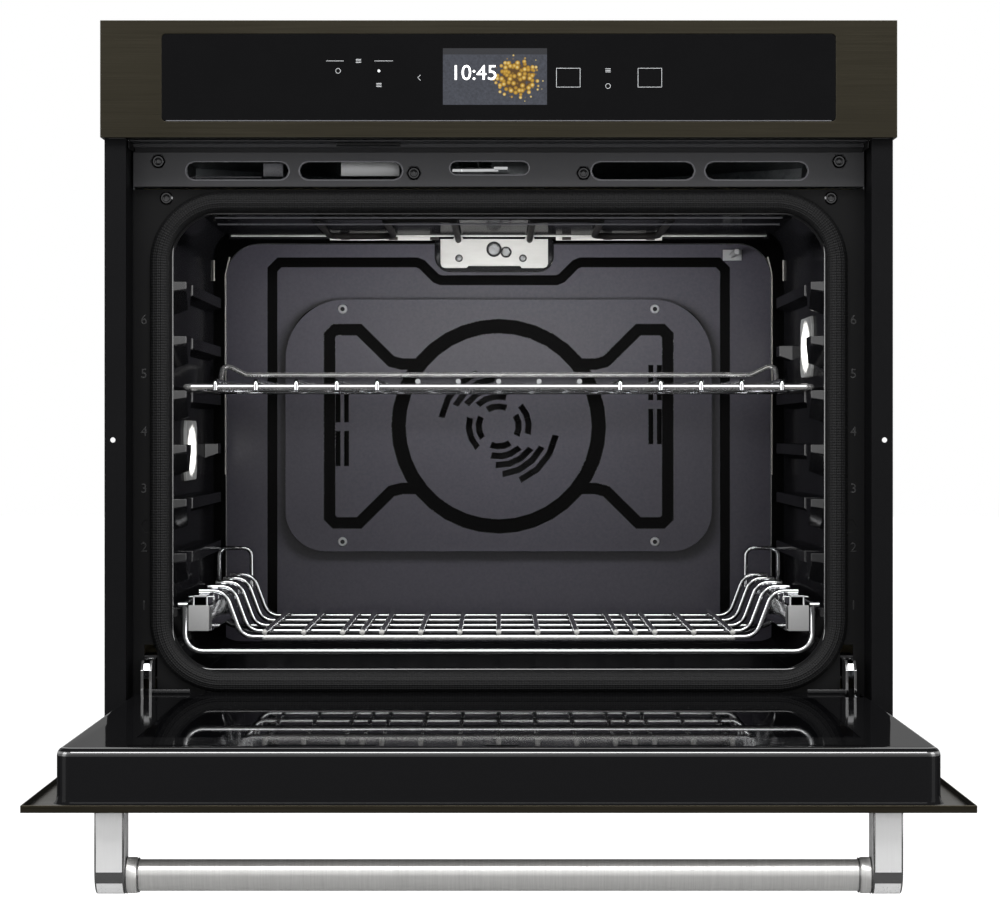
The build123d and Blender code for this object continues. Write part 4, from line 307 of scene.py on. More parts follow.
@dataclass(frozen=True)
class LampLens(Finish):
    """Frosted lens with its bulb alight behind: white at the bulb and darker to the ends.

    Attributes:
        middle: Middle of the lens in millimetres.
        across: Length along Y and height of the lens in millimetres.
    """

    middle: Point = (0.0, 0.0, 0.0)
    across: Flat = (90.0, 60.0)

    def surface(self, tree: Tree, place: Node) -> Node:
        """Build the lens's shader; see Finish."""
        where = place.outputs["Object"]
        spot = {"operation": "ADD", 1: tuple(-value * MM for value in self.middle)}
        moved = add_node(tree, "VectorMath", spot, {0: where})
        scale = (0.0, 2.2 / (self.across[0] * MM), 2.2 / (self.across[1] * MM))
        squashed = add_node(tree, "Mapping", {"Scale": scale}, {"Vector": moved})
        reach = add_node(tree, "VectorMath", {"operation": "LENGTH"}, {0: squashed})
        frost = {"Scale": 1 / (6 * MM), "Detail": 2.0}
        noise = add_node(tree, "TexNoise", frost, {"Vector": where})
        links = {0: noise, 2: reach.outputs["Value"]}
        ragged = add_node(tree, "Math", {"operation": "MULTIPLY_ADD", 1: 0.35}, links)
        glow = add_node(tree, "MapRange", {1: 0.75, 2: 1.15, 3: 3.0, 4: 0.06}, {0: ragged})
        bulb = {"Base Color": linear("#8d8f8f"), "Roughness": 0.25, "Emission Color": linear("#fffdf8")}
        return add_node(tree, "BsdfPrincipled", bulb, {"Emission Strength": glow})


@dataclass(frozen=True)
class FloorPaint(Finish):
    """White studio floor that bright pieces mirror only dimly, as if a dark cloth lay before them."""

    def surface(self, tree: Tree, place: Node) -> Node:
        """Build the floor's shader; see Finish."""
        noise = {"Scale": 2.5, "Detail": 2.0}
        drift = add_node(tree, "TexNoise", noise, {"Vector": place.outputs["Object"]})
        rough = add_node(tree, "MapRange", {3: 0.7, 4: 0.8}, {0: drift})
        settings = {
            "Base Color": linear("#f6f6f6"),
            "Emission Color": linear("#ffffff"),
            "Emission Strength": 0.3,
        }
        white = add_node(tree, "BsdfPrincipled", settings, {"Roughness": rough})
        cloth = add_node(tree, "BsdfDiffuse", {"Color": linear("#5a5a5a")})
        ray = add_node(tree, "LightPath")
        return add_node(tree, "MixShader", {}, {0: ray.outputs["Is Glossy Ray"], 1: white, 2: cloth})


@dataclass(frozen=True)
class BakedEnamel(Finish):
    """Enamel or back-painted glass: black under a thin shine that grows only a little at a slant.

    Attributes:
        colour: sRGB colour of the ground.
        shine: Share of light that it mirrors straight on.
        graze: Share that it mirrors at a slant.
        rough: Least and most roughness of the skin.
        ripple: Width of the skin's ripples in millimetres.
    """

    colour: str = "#060607"
    shine: float = 0.07
    graze: float = 0.07
    rough: Flat = (0.06, 0.16)
    ripple: float = 16.0

    def surface(self, tree: Tree, place: Node) -> Node:
        """Build the enamel's shader; see Finish."""
        ripple = {"Scale": 1 / (self.ripple * MM), "Detail": 2.0}
        noise = add_node(tree, "TexNoise", ripple, {"Vector": place.outputs["Object"]})
        rough = add_node(tree, "MapRange", {3: self.rough[0], 4: self.rough[1]}, {0: noise})
        bump = {"Strength": 0.5, "Distance": 0.04 * MM}
        normal = add_node(tree, "Bump", bump, {"Height": noise})
        body = add_node(tree, "BsdfDiffuse", {"Color": linear(self.colour)}, {"Normal": normal})
        links = {"Roughness": rough, "Normal": normal}
        skin = add_node(tree, "BsdfAnisotropic", {"Color": linear("#ffffff")}, links)
        slant = add_node(tree, "LayerWeight", {"Blend": 0.5}).outputs["Facing"]
        spread = {1: 0.55, 2: 0.95, 3: self.shine, 4: self.graze}
        share = add_node(tree, "MapRange", spread, {0: slant})
        return add_node(tree, "MixShader", {}, {0: share, 1: body, 2: skin})


@dataclass(frozen=True)
class Pressed(Finish):
    """Grey enamel on a pressed wall, with painted shade: almost black in every groove behind its face.

    Attributes:
        face: Y of the wall's face in millimetres.
        panel: Half width, top and corner radius of the pressed panel, painted black beyond it as shade; or
            zeros.
        cover: Half width, bottom, top and corner of the area behind the fan cover that gets painted shade;
            or zeros.
        base: sRGB colours of the enamel's specks and its ground.
    """

    face: float = 512.0
    panel: Point = (0.0, 0.0, 0.0)
    cover: Four = (0.0, 0.0, 0.0, 0.0)
    base: tuple[str, str] = ("#33323a", "#413f46")

    def surface(self, tree: Tree, place: Node) -> Node:
        """Build the enamel's shader; see Finish."""
        where = place.outputs["Object"]
        specks = {"Scale": 1 / (3 * MM), "Detail": 3.0, "Roughness": 0.6}
        noise = add_node(tree, "TexNoise", specks, {"Vector": where})
        tones = {"data_type": "RGBA", 6: linear(self.base[0]), 7: linear(self.base[1])}
        ground = add_node(tree, "Mix", tones, {0: noise})
        depth = add_node(tree, "SeparateXYZ", links={0: where}).outputs[1]
        # Painted shade: the colour turns almost black wherever the surface lies behind the wall's face.
        sunk = {1: (self.face + 0.1) * MM, 2: (self.face + 0.6) * MM, 3: 0.0, 4: 1.0}
        dark = add_node(tree, "MapRange", sunk, {0: depth})
        if self.panel[0]:
            for shade in (self.beyond(tree, where), self.shaded(tree, where)):
                dark = add_node(tree, "Math", {"operation": "MAXIMUM"}, {0: dark, 1: shade})
        # Near-black tone of the painted shade, which also takes away most of the shine.
        painted_shade_tone = {"data_type": "RGBA", 7: linear("#020202")}
        colour = add_node(tree, "Mix", painted_shade_tone, {0: dark, 6: ground.outputs[2]})
        shine = add_node(tree, "MapRange", {3: 0.5, 4: 0.1}, {0: dark})
        slow = {"Scale": 1 / (90 * MM), "Detail": 2.0}
        drift = add_node(tree, "TexNoise", slow, {"Vector": where})
        rough = add_node(tree, "MapRange", {3: 0.16, 4: 0.26}, {0: drift})
        bump = {"Strength": 0.4, "Distance": 0.02 * MM}
        normal = add_node(tree, "Bump", bump, {"Height": noise})
        links = {"Base Color": colour.outputs[2], "Roughness": rough, "Normal": normal}
        links["Specular IOR Level"] = shine
        return add_node(tree, "BsdfPrincipled", {"IOR": 1.5}, links)

    def past(self, tree: Tree, where: Socket, middle: float, half: Flat, corner: float) -> Node:
        """One where a place lies past a rounded rectangle in X and Z.

        Args:
            tree: Tree that the nodes go into.
            where: Socket of the place.
            middle: Z of the rectangle's middle in millimetres.
            half: Half its width and half its height.
            corner: Radius of its corners.

        Returns:
            The last node.
        """
        shift = {"operation": "SUBTRACT", 1: (0.0, 0.0, middle * MM)}
        moved = add_node(tree, "VectorMath", shift, {0: where})
        whole = add_node(tree, "VectorMath", {"operation": "ABSOLUTE"}, {0: moved})
        wide, tall = half
        any_y = 10.0
        core = {"operation": "SUBTRACT", 1: ((wide - corner) * MM, any_y, (tall - corner) * MM)}
        past = add_node(tree, "VectorMath", core, {0: whole})
        most = add_node(tree, "VectorMath", {"operation": "MAXIMUM", 1: (0.0, 0.0, 0.0)}, {0: past})
        far = add_node(tree, "VectorMath", {"operation": "LENGTH"}, {0: most}).outputs["Value"]
        return add_node(tree, "Math", {"operation": "GREATER_THAN", 1: corner * MM}, {0: far})

    def beyond(self, tree: Tree, where: Socket) -> Node:
        """Mask of painted shade: one where the wall turns away past the panel's rounded outline.

        Args:
            tree: Tree that the nodes go into.
            where: Socket of the place.

        Returns:
            The last node.
        """
        half, top, corner = self.panel
        return self.past(tree, where, 0.0, (half, top), corner)

    def shaded(self, tree: Tree, where: Socket) -> Node:
        """Mask of painted shade: one where the wall lies behind the fan cover.

        Args:
            tree: Tree that the nodes go into.
            where: Socket of the place.

        Returns:
            The last node.
        """
        half, low, high, corner = self.cover
        outside = self.past(tree, where, (low + high) / 2, (half, (high - low) / 2), corner)
        return add_node(tree, "Math", {"operation": "SUBTRACT", 0: 1.0}, {1: outside})


@dataclass(frozen=True)
class Spangle(Finish):
    """Hot-dip zinc on steel sheet: flat crystals a few millimetres across.

    Attributes:
        crystal: Size of one crystal in millimetres.
    """

    crystal: float = 5.5

    def surface(self, tree: Tree, place: Node) -> Node:
        """Build the spangled shader; see Finish."""
        cells = {"Scale": 1 / (self.crystal * MM)}
        crystals = add_node(tree, "TexVoronoi", cells, {"Vector": place.outputs["Object"]})
        grey = add_node(tree, "SeparateColor", links={0: crystals.outputs["Color"]})
        tones = {"data_type": "RGBA", 6: linear("#999c9f"), 7: linear("#aeb1b3")}
        colour = add_node(tree, "Mix", tones, {0: grey})
        limits = {1: 0.0, 2: 1.0, 3: 0.28, 4: 0.48}
        rough = add_node(tree, "MapRange", limits, {0: grey.outputs[1]})
        links = {"Base Color": colour.outputs[2], "Roughness": rough}
        return add_node(tree, "BsdfPrincipled", {"Metallic": 1.0}, links)


# Sizes of grain that several finishes share, in millimetres.
FINE: Point = (1.2, 1.2, 1.2)
SMALL: Point = (2, 2, 2)
BROAD: Point = (20, 20, 20)

# Black stainless steel, brushed along the panel and oxide coated: an olive-brown sheen in fine lines.
BRUSHED: tuple[Any, ...] = (1.0, (0.26, 0.42), (90, 3, 0.7), 0.01, 120)
BLACK_STAINLESS = Grained("black_stainless_brushed", "#36332a", "#464238", *BRUSHED)
# The same sheet on the door, painted a little lighter than the fascia's as a lit copy: painted light.
DOOR_STAINLESS = Grained("black_stainless_door_sheet", "#3d392f", "#4f4a3f", *BRUSHED)
# Enamel on the cavity's walls: black with a soft, even shine.
WALL_ENAMEL = BakedEnamel("black_baked_cavity_enamel", "#121214", 0.12, 0.14)
# The door's inner pan: the same enamel, glossier, as it is wiped clean each day.
DOOR_ENAMEL = BakedEnamel("black_door_enamel", "#0e0e0f", 0.004, 0.26, (0.03, 0.07), 40.0)
# The door's inner glass, painted black behind: a clear mirror at a slant.
DOOR_GLASS = BakedEnamel("black_painted_inner_glass", "#050506", 0.02, 0.24, (0.012, 0.03), 90.0)
# A darker copy of the satin casting: painted shade on the brackets' edges and foot band, and in the rings at
# the bar's collars.
SHADED_CASTING = Grained("casting_with_painted_shade", "#6a6a6a", "#7c7c7c", 0.8, (0.12, 0.2), (3, 3, 3), 0.0)
# Chrome wire with a little diffuse colour, so the flat rack's frame and the shelf's front rail stay bright
# where plain chrome would mirror the dark cavity: painted light.
BRIGHTENED_CHROME = Grained("chrome_wire_with_painted_light", "#e0e0e0", "#eeedeb", 0.86, (0.06, 0.12), (6, 6, 6), 0.004)
# Pale enamel on the bead's upright runs and at the cavity's rear corners: a painted highlight.
PAINTED_HIGHLIGHT_BEAD = Grained("enamel_bead_with_painted_highlight", "#8f8c87", "#a5a29c", 0.0, (0.15, 0.25), SMALL, 0.0)
# The cavity's floor: the walls' enamel, darker and with less shine.
FLOOR_ENAMEL = BakedEnamel("dulled_floor_enamel", "#09090a", 0.045, 0.06, (0.1, 0.2))
# The pan's enamel, darker and with a higher index, on one band of its bend: a painted sheen band.
SHEEN_BAND_ENAMEL = Grained("enamel_with_painted_sheen_band", "#08080a", "#0c0c0d", 0.0, (0.16, 0.24), BROAD, 0.0, 80, 0, 1.7)
# Enamel on the rolled lip of the mouth, thick and mirror bright.
# On two bands of the door pan's bend it draws highlight lines: painted highlight.
GLOSS_LIP = Grained(
    "thick_enamel_on_rolled_lip", "#08080a", "#0d0d0f", 0.0, (0.1, 0.16), BROAD, 0.0, 80, 1.0, 2.2
)
# Enamelled front frame: semi-gloss charcoal that dulls the room's light.
FRAME_ENAMEL = Grained(
    "charcoal_enamel_frame", "#0c0c0d", "#131314", 0.0, (0.32, 0.44), SMALL, 0.02, 60, 0.0, 1.3
)
# A paler copy of the frame's enamel: painted highlight on the embossed figures and the fan cover's rim; also
# the tone of the hinge strips.
PALE_ENAMEL_HIGHLIGHT = Grained("pale_enamel_and_painted_highlight", "#19191a", "#232324", 0.0, (0.2, 0.3), SMALL, 0.01, 60, 0.4)
# Powder paint on the vent trims: even satin grey with a fine orange-peel grain.
SATIN_TRIM = Grained("satin_grey_powder_paint", "#2b2b2e", "#373739", 0.0, (0.4, 0.52), FINE, 0.03)
# A paler, smoother grey paint: painted highlight on the slots' rolled rims, the heater guard rods and the
# touch glass's lower edge; also the plain grey of the sensor block and its wire.
PALE_GREY_AND_HIGHLIGHT = Grained("pale_grey_paint_and_painted_highlight", "#55555a", "#6a6a6e", 0.0, (0.25, 0.35), FINE, 0.02)
# The same paint in black, on the side trims beside the door.
BLACK_TRIM = Grained(
    "satin_black_powder_paint", "#060607", "#0c0c0e", 0.0, (0.42, 0.55), FINE, 0.03, 60, 0.0, 1.2
)
# Drawn wire, chrome plated: mirror bright with only faint draw lines.
CHROME = Grained("chrome_plated_wire", "#d2d3d5", "#e2e3e4", 1.0, (0.04, 0.09), (6, 6, 6), 0.004)
# Zamak castings, polished and chrome plated: bright with soft highlights.
CHROME_CAST = Grained("chrome_plated_casting", "#d6d7d8", "#e4e4e4", 1.0, (0.03, 0.08), (8, 8, 8), 0.006)
# The handle's brackets: the same castings in a soft satin chrome.
HANDLE_CAST = Grained("satin_chrome_bracket", "#d8d8d8", "#e0e0e0", 0.5, (0.25, 0.35), (1.2, 1.2, 30), 0.006)
# Stainless tube, brushed round its girth: fine rings across the bar that spread the light lengthwise.
BRUSHED_TUBE = Grained(
    "stainless_tube_ring_brushed", "#cac9c7", "#ebeae8", 0.78, (0.28, 0.38), (0.9, 30, 30), 0.008, 40
)
# Aluminised steel sheet: bright and a little cloudy.
BRIGHT_SHEET = Grained("aluminised_steel_sheet", "#c4c5c6", "#d8d9da", 0.75, (0.34, 0.44), (30, 30, 30), 0.0)
# Hub plate: bright annealed stainless sheet, pale and even.
HUB_PLATE = Grained("bright_annealed_plate", "#b4b3b0", "#c6c5c2", 0.2, (0.3, 0.4), (25, 25, 6), 0.0, 60)
# Slide end caps: plain grey satin, as stamped and tumbled steel.
SATIN_CAP = Grained("tumbled_steel_cap", "#929292", "#9e9e9e", 0.2, (0.42, 0.55), (1, 1, 1), 0.02)
# Mineral-filled heater sheath, oxidised in the furnace: dull grey-brown.
HEATER = Grained("oxidised_heater_sheath", "#2a2827", "#454240", 0.6, (0.4, 0.55), SMALL, 0.02)
# The grill's sheath, blackened by use.
SOOTED = Grained("sooted_heater_sheath", "#0b0a0a", "#161514", 0.0, (0.5, 0.62), SMALL, 0.02, 60, 0.0, 1.3)
# Moulded black plastic with a spark-eroded texture.
PLASTIC = Grained("black_moulded_plastic", "#0c0c0d", "#161617", 0.0, (0.35, 0.5), (0.8, 0.8, 0.8), 0.04)
# Screws, black oxide over polished steel: dark with sharp glints on their rings.
BLACK_OXIDE = Grained("black_oxide_screw", "#4a4a4b", "#5a5a5b", 1.0, (0.14, 0.22), SMALL, 0.0)
# Touch glass, back printed in black: mirror smooth.
BLACK_GLASS = Grained(
    "black_back_printed_glass", "#040405", "#070708", 0.0, (0.02, 0.04), (40, 40, 40), 0.0, 200, 0.0, 1.2
)
# Screen-printed ceramic ink under the glass: soft grey-white, with a faint glow that stands in for light on
# it: painted light.
PRINT = Grained(
    "screen_printed_ink", "#a9abad", "#c4c6c8", 0.0, (0.5, 0.6), (0.5, 0.5, 0.5), 0.0, 20, 0, 1.5, 0.35
)
# White segments of the display, alight.
LIT = Grained("display_white_pixels", "#f4f6f8", "#ffffff", 0.0, (0.4, 0.5), SMALL, 0.0, 20, 0, 1.5, 1.1)
# Fibre board with green solder mask.
BOARD = Grained("solder_masked_board", "#0d3a22", "#17603a", 0.0, (0.25, 0.45), (3, 3, 3), 0.05, 20, 0.4)
# Mineral wool, felted: straw grey and fully matt.
WOOL = Grained("felted_mineral_wool", "#8f866a", "#c2b894", 0.0, (0.85, 0.95), (4, 18, 18), 1.2, 50)
# Motor shells, painted dark.
MOTOR = Grained("black_painted_motor_shell", "#19191a", "#262628", 0.0, (0.35, 0.5), SMALL, 0.03)
# Float glass, zinc sheet and fibreglass sleeve, each with its class's own look.
GLASS = ClearGlass("float_glass_clear")
ZINC = Spangle("hot_dip_zinc_spangle")
BRAID = Braid("black_fibreglass_braid")


# ---- Mesh helpers


def shaded(mesh: Mesh, angle: float = 32.0) -> Mesh:
    """Shade a mesh smooth, but for edges sharper than an angle in degrees."""
    mesh.shade_smooth()
    mesh.set_sharp_from_angle(angle=math.radians(angle))
    return mesh


def linked(name: str, data: Any) -> Piece:
    """Put a new object with the given data in the scene."""
    piece = bpy.data.objects.new(name, data)
    bpy.context.scene.collection.objects.link(piece)
    return piece


def written(made: bmesh.types.BMesh, name: str) -> Mesh:
    """Write a bmesh into a new mesh and free it.

    Args:
        made: The bmesh.
        name: Name of the new mesh.

    Returns:
        The new mesh.
    """
    mesh = bpy.data.meshes.new(name)
    made.to_mesh(mesh)
    made.free()
    return mesh


def band(made: bmesh.types.BMesh, near: Sequence[Any], far: Sequence[Any], slot: int = 0) -> None:
    """Close the gap between two rings of vertices with faces.

    Args:
        made: The mesh that they are in.
        near: First ring.
        far: Second ring, with as many vertices.
        slot: Material slot of the faces.
    """
    for step in range(len(near)):
        after = (step + 1) % len(near)
        made.faces.new((near[step], near[after], far[after], far[step])).material_index = slot


def rounded(made: bmesh.types.BMesh, edges: Sequence[Any], radius: float, slot: int = 0) -> None:
    """Round edges of a mesh.

    Args:
        made: The mesh that they are in.
        edges: The edges.
        radius: Radius in millimetres.
        slot: Material slot of the new faces.
    """
    bmesh.ops.bevel(
        made, geom=edges, offset=radius * MM, segments=3, profile=0.5, affect="EDGES", material=slot
    )


def placed(name: str, mesh: Mesh, finish: Optional[Finish] = None, body: str = "chassis") -> Piece:
    """Put a finished mesh in the scene as a piece that rides on a body.

    Args:
        name: Name of the piece.
        mesh: Its mesh, in metres and in place.
        finish: Its finish, or None where the mesh has its materials.
        body: CAD body that carries it.

    Returns:
        The new object.
    """
    mesh.name = name
    if finish:
        mesh.materials.clear()
        mesh.materials.append(finish.material())
    piece = linked(name, mesh)
    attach(piece, body)
    LOG.info("%s: %d faces on %s", name, len(mesh.polygons), body)
    return piece


def joined(meshes: Sequence[Mesh]) -> Mesh:
    """Join meshes into one.

    Args:
        meshes: The meshes, in metres.

    Returns:
        One mesh whose slots hold the materials in order of first use.
    """
    whole = bmesh.new()
    materials: list[bpy.types.Material] = []
    for mesh in meshes:
        start = len(whole.faces)
        whole.from_mesh(mesh)
        whole.faces.ensure_lookup_table()
        for material in mesh.materials:
            if material not in materials:
                materials.append(material)
        for face in whole.faces[start:]:
            if mesh.materials:
                face.material_index = materials.index(mesh.materials[face.material_index])
    result = written(whole, "joined")
    for material in materials:
        result.materials.append(material)
    return result


def evaluated(piece: Piece) -> Mesh:
    """Turn an object with live modifiers into a plain mesh and remove the object.

    Args:
        piece: The object.

    Returns:
        Its mesh with the modifiers' work in it.
    """
    graph = bpy.context.evaluated_depsgraph_get()
    mesh = bpy.data.meshes.new_from_object(piece.evaluated_get(graph))
    bpy.data.objects.remove(piece)
    return mesh


@dataclass
class NodeTool:
    """A Geometry Nodes tree that makes real geometry with its finish, built at its first use.

    Attributes:
        name: Name of the tree.
        kinds: Kind of each input's socket after the first, which is the geometry.
        tree: The tree, once it is built.
        sockets: Identifier of each of those inputs.
    """

    name: str
    kinds: dict[str, str]
    tree: Optional[Tree] = None
    sockets: dict[str, str] = field(default_factory=dict)

    def shape(self, tree: Tree, given: Any) -> Node:
        """Build the nodes that make the geometry.

        Args:
            tree: The node tree.
            given: Output sockets of its input node.

        Returns:
            The last node.
        """
        raise NotImplementedError

    def build(self) -> None:
        """Make the node tree and note its inputs' identifiers."""
        tree = self.tree = bpy.data.node_groups.new(self.name, "GeometryNodeTree")
        for way in ("INPUT", "OUTPUT"):
            tree.interface.new_socket("Geometry", in_out=way, socket_type="NodeSocketGeometry")
        for name, kind in self.kinds.items():
            made = tree.interface.new_socket(name, in_out="INPUT", socket_type=f"NodeSocket{kind}")
            self.sockets[name] = made.identifier
        given = tree.nodes.new("NodeGroupInput").outputs
        real = add_node(tree, "RealizeInstances", {}, {0: self.shape(tree, given)})
        links = {"Geometry": real, "Material": given["Finish"]}
        dressed = add_node(tree, "SetMaterial", {}, links)
        tree.links.new(dressed.outputs[0], tree.nodes.new("NodeGroupOutput").inputs[0])

    def run(self, carrier: Piece, values: dict[str, Any]) -> Mesh:
        """Run the tree on an object, which is used up.

        Args:
            carrier: Object whose data is the first input.
            values: The other inputs by name.

        Returns:
            A plain mesh in metres.
        """
        if self.tree is None:
            self.build()
        nodes = carrier.modifiers.new(self.name, "NODES")
        nodes.node_group = self.tree
        for name, value in values.items():
            nodes[self.sockets[name]] = value
        return evaluated(carrier)


class WireTool(NodeTool):
    """Bends a wire's corners and sweeps a round section along it."""

    def shape(self, tree: Tree, given: Any) -> Node:
        """Round the route's corners and sweep the section; see NodeTool."""
        bends = {"mode": "POLY", "Count": 6, "Limit Radius": True}
        links = {"Curve": given["Geometry"], "Radius": given["Bend Radius"]}
        bent = add_node(tree, "FilletCurve", bends, links)
        links = {"Resolution": given["Sides"], "Radius": given["Wire Radius"]}
        section = add_node(tree, "CurvePrimitiveCircle", {}, links)
        links = {"Curve": bent, "Profile Curve": section}
        return add_node(tree, "CurveToMesh", {"Fill Caps": True}, links)

    def sweep(
        self,
        routes: Sequence[Sequence[Point]],
        radius: float,
        bend: float,
        finish: Finish,
        sides: int = 14,
        closed: bool = False,
    ) -> Mesh:
        """Sweep wires of one section along routes.

        Args:
            routes: Corner points of each wire, in millimetres.
            radius: Radius of the wire in millimetres.
            bend: Radius of the bends in millimetres.
            finish: Finish of the wire.
            sides: Sides of the section.
            closed: Whether each route comes back to its start.

        Returns:
            A plain mesh in metres.
        """
        curve = bpy.data.curves.new("routes", "CURVE")
        curve.dimensions = "3D"
        for route in routes:
            spline = curve.splines.new("POLY")
            spline.points.add(len(route) - 1)
            for point, place in zip(spline.points, route):
                point.co = (*metres(place), 1.0)
            spline.use_cyclic_u = closed
        values = {"Wire Radius": radius * MM, "Bend Radius": bend * MM, "Sides": sides}
        return shaded(self.run(linked("routes", curve), values | {"Finish": finish.material()}), 40)


class RepeatTool(NodeTool):
    """Sets one small shape at every point of a mesh."""

    def shape(self, tree: Tree, given: Any) -> Node:
        """Set the shape at the points; see NodeTool."""
        shape = add_node(tree, "ObjectInfo", {}, {"Object": given["Shape"]}).outputs["Geometry"]
        links = {"Points": given["Geometry"], "Instance": shape, "Scale": given["Scale"]}
        return add_node(tree, "InstanceOnPoints", {}, links)

    def repeat(self, shape: Mesh, places: Sequence[Point], finish: Finish, scale: float = 1.0) -> Mesh:
        """Set a shape at each place.

        Args:
            shape: Small mesh in metres, round the origin.
            places: Where it goes, in millimetres.
            finish: Finish of all copies.
            scale: Scale of the copies.

        Returns:
            A plain mesh in metres.
        """
        points = bpy.data.meshes.new("points")
        points.from_pydata([metres(place) for place in places], [], [])
        pattern = linked("pattern", shape)
        values = {"Shape": pattern, "Scale": scale, "Finish": finish.material()}
        mesh = self.run(linked("points", points), values)
        bpy.data.objects.remove(pattern)
        return shaded(mesh, 35)


WIRE = WireTool(
    "bent_wire", {"Wire Radius": "Float", "Bend Radius": "Float", "Sides": "Int", "Finish": "Material"}
)
COPIES = RepeatTool("set_at_points", {"Shape": "Object", "Scale": "Float", "Finish": "Material"})


def turned(profile: Sequence[Flat], sides: int = 24) -> Mesh:
    """Turn a profile about the Y axis.

    Args:
        profile: Radius and Y of each ring, in millimetres, from one end to the other.
        sides: Steps round the axis.

    Returns:
        A closed mesh in metres.
    """
    made = bmesh.new()
    turns = [2 * math.pi * step / sides for step in range(sides)]
    rings = [
        [made.verts.new((r * math.cos(t) * MM, along * MM, r * math.sin(t) * MM)) for t in turns]
        for r, along in profile
    ]
    for near, far in zip(rings, rings[1:]):
        band(made, near, far)
    made.faces.new(rings[0])
    made.faces.new(rings[-1][::-1])
    bmesh.ops.remove_doubles(made, verts=made.verts, dist=1e-6)
    bmesh.ops.recalc_face_normals(made, faces=made.faces)
    return written(made, "turned")


def block(low: Point, high: Point, edge: float = 0.4, finish: Optional[Finish] = None) -> Mesh:
    """Make a block with rounded edges.

    Args:
        low: Lowest corner in millimetres.
        high: Highest corner in millimetres.
        edge: Radius of its edges in millimetres.
        finish: Finish of the block, or None.

    Returns:
        A closed mesh in metres.
    """
    made = bmesh.new()
    bmesh.ops.create_cube(made, size=1.0)
    middle = [(a + b) / 2 * MM for a, b in zip(low, high)]
    sides = [(b - a) * MM for a, b in zip(low, high)]
    for vert in made.verts:
        vert.co = Vector([m + c * s for m, c, s in zip(middle, vert.co, sides)])
    rounded(made, made.edges[:], edge)
    mesh = written(made, "block")
    if finish:
        mesh.materials.append(finish.material())
    return shaded(mesh)


def sided(side: int, low: Point, high: Point, edge: float = 0.4, finish: Optional[Finish] = None) -> Mesh:
    """Make a block on the right, or its mirror image on the left.

    Args:
        side: One for right, minus one for left.
        low: Lowest corner of the block on the right, in millimetres.
        high: Its highest corner.
        edge: Radius of its edges in millimetres.
        finish: Finish of the block, or None.

    Returns:
        A closed mesh in metres.
    """
    near, far = sorted((side * low[0], side * high[0]))
    return block((near, *low[1:]), (far, *high[1:]), edge, finish)


def extruded(outline: Sequence[Flat], front: float, back: float, edge: float = 0.0) -> Mesh:
    """Give an outline in X and Z a thickness along Y.

    Args:
        outline: X and Z of the corners in millimetres.
        front: Y of the front face in millimetres.
        back: Y of the back face in millimetres.
        edge: Radius of the front face's edge in millimetres.

    Returns:
        A closed mesh in metres.
    """
    made = bmesh.new()
    near = [made.verts.new(metres(spot)) for spot in at_depth(outline, front)]
    far = [made.verts.new(metres(spot)) for spot in at_depth(outline, back)]
    face = made.faces.new(near)
    made.faces.new(far[::-1])
    band(made, far, near)
    bmesh.ops.recalc_face_normals(made, faces=made.faces)
    if edge:
        rounded(made, list(face.edges), edge)
    return shaded(written(made, "extruded"))


def figures(words: str, height: float, spot: Point, thick: float = 0.0, edge: float = 0.0) -> Mesh:
    """Make plain numbers that stand upright and face forward.

    Args:
        words: The numbers.
        height: Size of the type in millimetres.
        spot: Middle of the numbers in millimetres.
        thick: How far they stand out each way.
        edge: Radius of their edges.

    Returns:
        A mesh in metres.
    """
    curve = bpy.data.curves.new("figures", "FONT")
    curve.body, curve.size = words, height * MM
    curve.extrude, curve.bevel_depth = thick * MM, edge * MM
    curve.align_x = curve.align_y = "CENTER"
    mesh = evaluated(linked("figures", curve))
    stand = Matrix.Rotation(math.radians(90), 4, "X")
    mesh.transform(Matrix.Translation(metres(spot)) @ stand)
    return mesh


def at_depth(outline: Sequence[Flat], y: float) -> list[Point]:
    """Give the points of an outline in X and Z one Y."""
    return [(x, y, z) for x, z in outline]


def mirrored(half: Sequence[Point]) -> list[Point]:
    """Carry a route on through its mirror image across the middle, back to front."""
    return [*half, *((-x, y, z) for x, y, z in reversed(half))]


def ring_points(
    middle: Flat, radius: float, steps: int, start: float = 0.0, end: float = 360.0
) -> list[Flat]:
    """Points on a circle in X and Z.

    Args:
        middle: X and Z of its middle.
        radius: Its radius.
        steps: Number of steps.
        start: First angle in degrees.
        end: Last angle in degrees.

    Returns:
        The points, without the last one where the ring is whole.
    """
    whole = abs(end - start) >= 360
    count = steps if whole else steps + 1
    turns = [math.radians(start + (end - start) * step / steps) for step in range(count)]
    return [(middle[0] + radius * math.cos(t), middle[1] + radius * math.sin(t)) for t in turns]


def slot_points(middle: Flat, length: float, height: float, steps: int = 10) -> list[Flat]:
    """Outline of a slot with round ends, in X and Z."""
    radius, reach = height / 2, (length - height) / 2
    right = ring_points((middle[0] + reach, middle[1]), radius, steps, -90, 90)
    return right + ring_points((middle[0] - reach, middle[1]), radius, steps, 90, 270)


def rounded_points(half: float, low: float, high: float, corner: float, steps: int = 12) -> list[Flat]:
    """Outline of a rounded rectangle whose middle is at x = 0, in X and Z.

    Args:
        half: Half its width.
        low: Height of its lowest edge.
        high: Height of its highest edge.
        corner: Radius of its corners.
        steps: Number of steps round a corner.

    Returns:
        The outline's points.
    """
    points: list[Flat] = []
    for x, z, start in (
        (half - corner, low + corner, -90),
        (half - corner, high - corner, 0),
        (corner - half, high - corner, 90),
        (corner - half, low + corner, 180),
    ):
        points += ring_points((x, z), corner, steps, start, start + 90)
    return points


def quarter(steps: int) -> list[tuple[float, float]]:
    """One minus cosine and one minus sine of each step through a right angle."""
    turns = [math.pi / 2 * step / steps for step in range(steps + 1)]
    return [(1 - math.cos(t), 1 - math.sin(t)) for t in turns]


